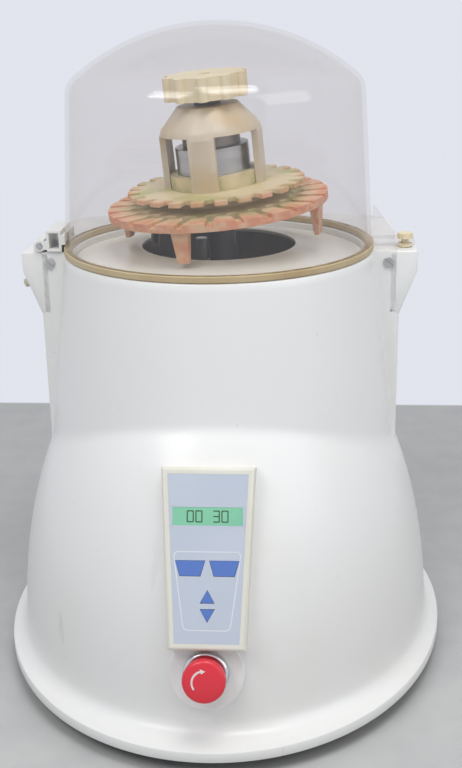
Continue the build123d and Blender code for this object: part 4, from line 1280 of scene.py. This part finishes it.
@dataclass
class Studio:
    """Plain pale floor, soft lamps and the camera of the photograph."""

    distance: float = 0.963
    azimuth: float = 4.8
    height: float = 0.558
    pitch: float = 18.9
    yaw: float = -0.46
    roll: float = -1.16
    focal_pixels: float = 1167.0
    picture_height: int = 768
    sensor: float = 36.0
    table: float = 0.579
    ambient: float = 0.46
    wall: Colour = (0.76, 0.78, 0.85)

    def camera(self) -> None:
        """Sets the camera where the photograph was taken from."""
        azimuth = math.radians(self.azimuth)
        heading = azimuth + math.radians(self.yaw)
        pitch = math.radians(self.pitch)
        roll = math.radians(self.roll)
        across, along = math.sin(azimuth), -math.cos(azimuth)
        place = Vector((self.distance * across, self.distance * along, self.height))
        level = math.cos(pitch)
        look = Vector((-math.sin(heading) * level, math.cos(heading) * level, -math.sin(pitch)))
        right = look.cross(Vector((0, 0, 1))).normalized()
        up = right.cross(look)
        turned_right = right * math.cos(roll) + up * math.sin(roll)
        turned_up = up * math.cos(roll) - right * math.sin(roll)
        data = bpy.data.cameras.new("camera")
        data.sensor_fit = "VERTICAL"
        data.sensor_height = self.sensor
        data.lens = self.focal_pixels / self.picture_height * self.sensor
        data.clip_start = 0.01
        camera = bpy.data.objects.new("camera", data)
        rotation = Matrix((turned_right, turned_up, -look)).transposed().to_4x4()
        camera.matrix_world = Matrix.Translation(place) @ rotation
        bpy.context.scene.collection.objects.link(camera)
        bpy.context.scene.camera = camera

    def lamp(self, name: str, place: Point, size: float, power: float, target: Point) -> None:
        """One soft area lamp.

        Args:
            name: Name of the lamp.
            place: Its place in metres.
            size: Side of its square in metres.
            power: Power in watts.
            target: Point that it faces.
        """
        data = bpy.data.lights.new(name, "AREA")
        data.shape = "SQUARE"
        data.size = size
        data.energy = power
        lamp = bpy.data.objects.new(name, data)
        aim = Vector(target) - Vector(place)
        lamp.matrix_world = Matrix.Translation(place) @ aim.to_track_quat("-Z", "Y").to_matrix().to_4x4()
        bpy.context.scene.collection.objects.link(lamp)

    def floor(self) -> None:
        """A wide floor: pale grey near the machine, paler and bluer beyond it."""
        solid = bmesh.new()
        bmesh.ops.create_circle(solid, cap_ends=True, segments=96, radius=14.0)
        mesh = bpy.data.meshes.new("floor")
        solid.to_mesh(mesh)
        solid.free()
        floor = bpy.data.objects.new("floor", mesh)
        bpy.context.scene.collection.objects.link(floor)
        shader = new_material("floor_paint")
        across, along, _ = shader.axes(shader.place())
        far = across.size().at_least(along.size()).ramp(self.table - 0.003, self.table + 0.003)
        mottle = shader.noise(30.0, 4.0).ramp(0.3, 0.7)
        greys = shader.blend(mottle, (0.50, 0.50, 0.495), (0.535, 0.535, 0.525))
        near = shader.surface(base_color=greys, roughness=0.6)
        pale = shader.surface(base_color=(0.72, 0.74, 0.79), roughness=0.7)
        glow = shader.node("ShaderNodeEmission", {}, {"Color": self.wall, "Strength": 1.0}).outputs[0]
        beyond = shader.mix(shader.seen_directly(), pale, glow)
        mesh.materials.append(shader.finish(shader.mix(far, near, beyond)))
        floor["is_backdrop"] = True

    def world(self) -> None:
        """An even pale sky that lights the machine softly and looks like the floor beyond it."""
        bpy.context.scene.world = bpy.data.worlds.new("sky")
        shader = Shader(bpy.context.scene.world, "ShaderNodeOutputWorld")
        skies = []
        for colour, strength in (((0.82, 0.84, 0.90), self.ambient), (self.wall, 1.0)):
            sockets = {"Color": colour, "Strength": strength}
            skies.append(shader.node("ShaderNodeBackground", {}, sockets).outputs[0])
        shader.finish(shader.mix(shader.seen_directly(), *skies))

    def build(self) -> None:
        """Sets up the floor, the light and the camera."""
        bpy.context.scene.view_settings.view_transform = "Standard"
        self.floor()
        self.world()
        self.lamp("key_lamp", (-0.9, -1.2, 1.9), 0.9, 13.6, (0, 0, 0.25))
        self.lamp("fill_lamp", (1.5, -0.9, 1.1), 1.3, 7.0, (0, 0, 0.25))
        self.lamp("top_lamp", (0.25, -0.55, 1.9), 0.8, 12.8, (0, 0, 0.2))
        self.camera()


def main(frame: dict[str, Any], cad: Sequence[Vector]) -> None:
    """Builds the sub-assemblies in order.

    Args:
        frame: The loaded frame.
        cad: Lowest and highest corner of the CAD model. Not used.
    """
    logging.basicConfig(level=logging.INFO, format="%(name)s %(message)s")
    shop = Workshop(frame)
    Studio().build()
    for part in (
        Shell(shop),
        Chamber(shop),
        Rotor(shop),
        Drive(shop),
        ControlBox(shop),
        StopButton(shop),
        ServicePanel(shop),
    ):
        LOG.info("building %s", type(part).__name__)
        part.build()


if __name__ == "__main__":
    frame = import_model()
    main(frame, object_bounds())
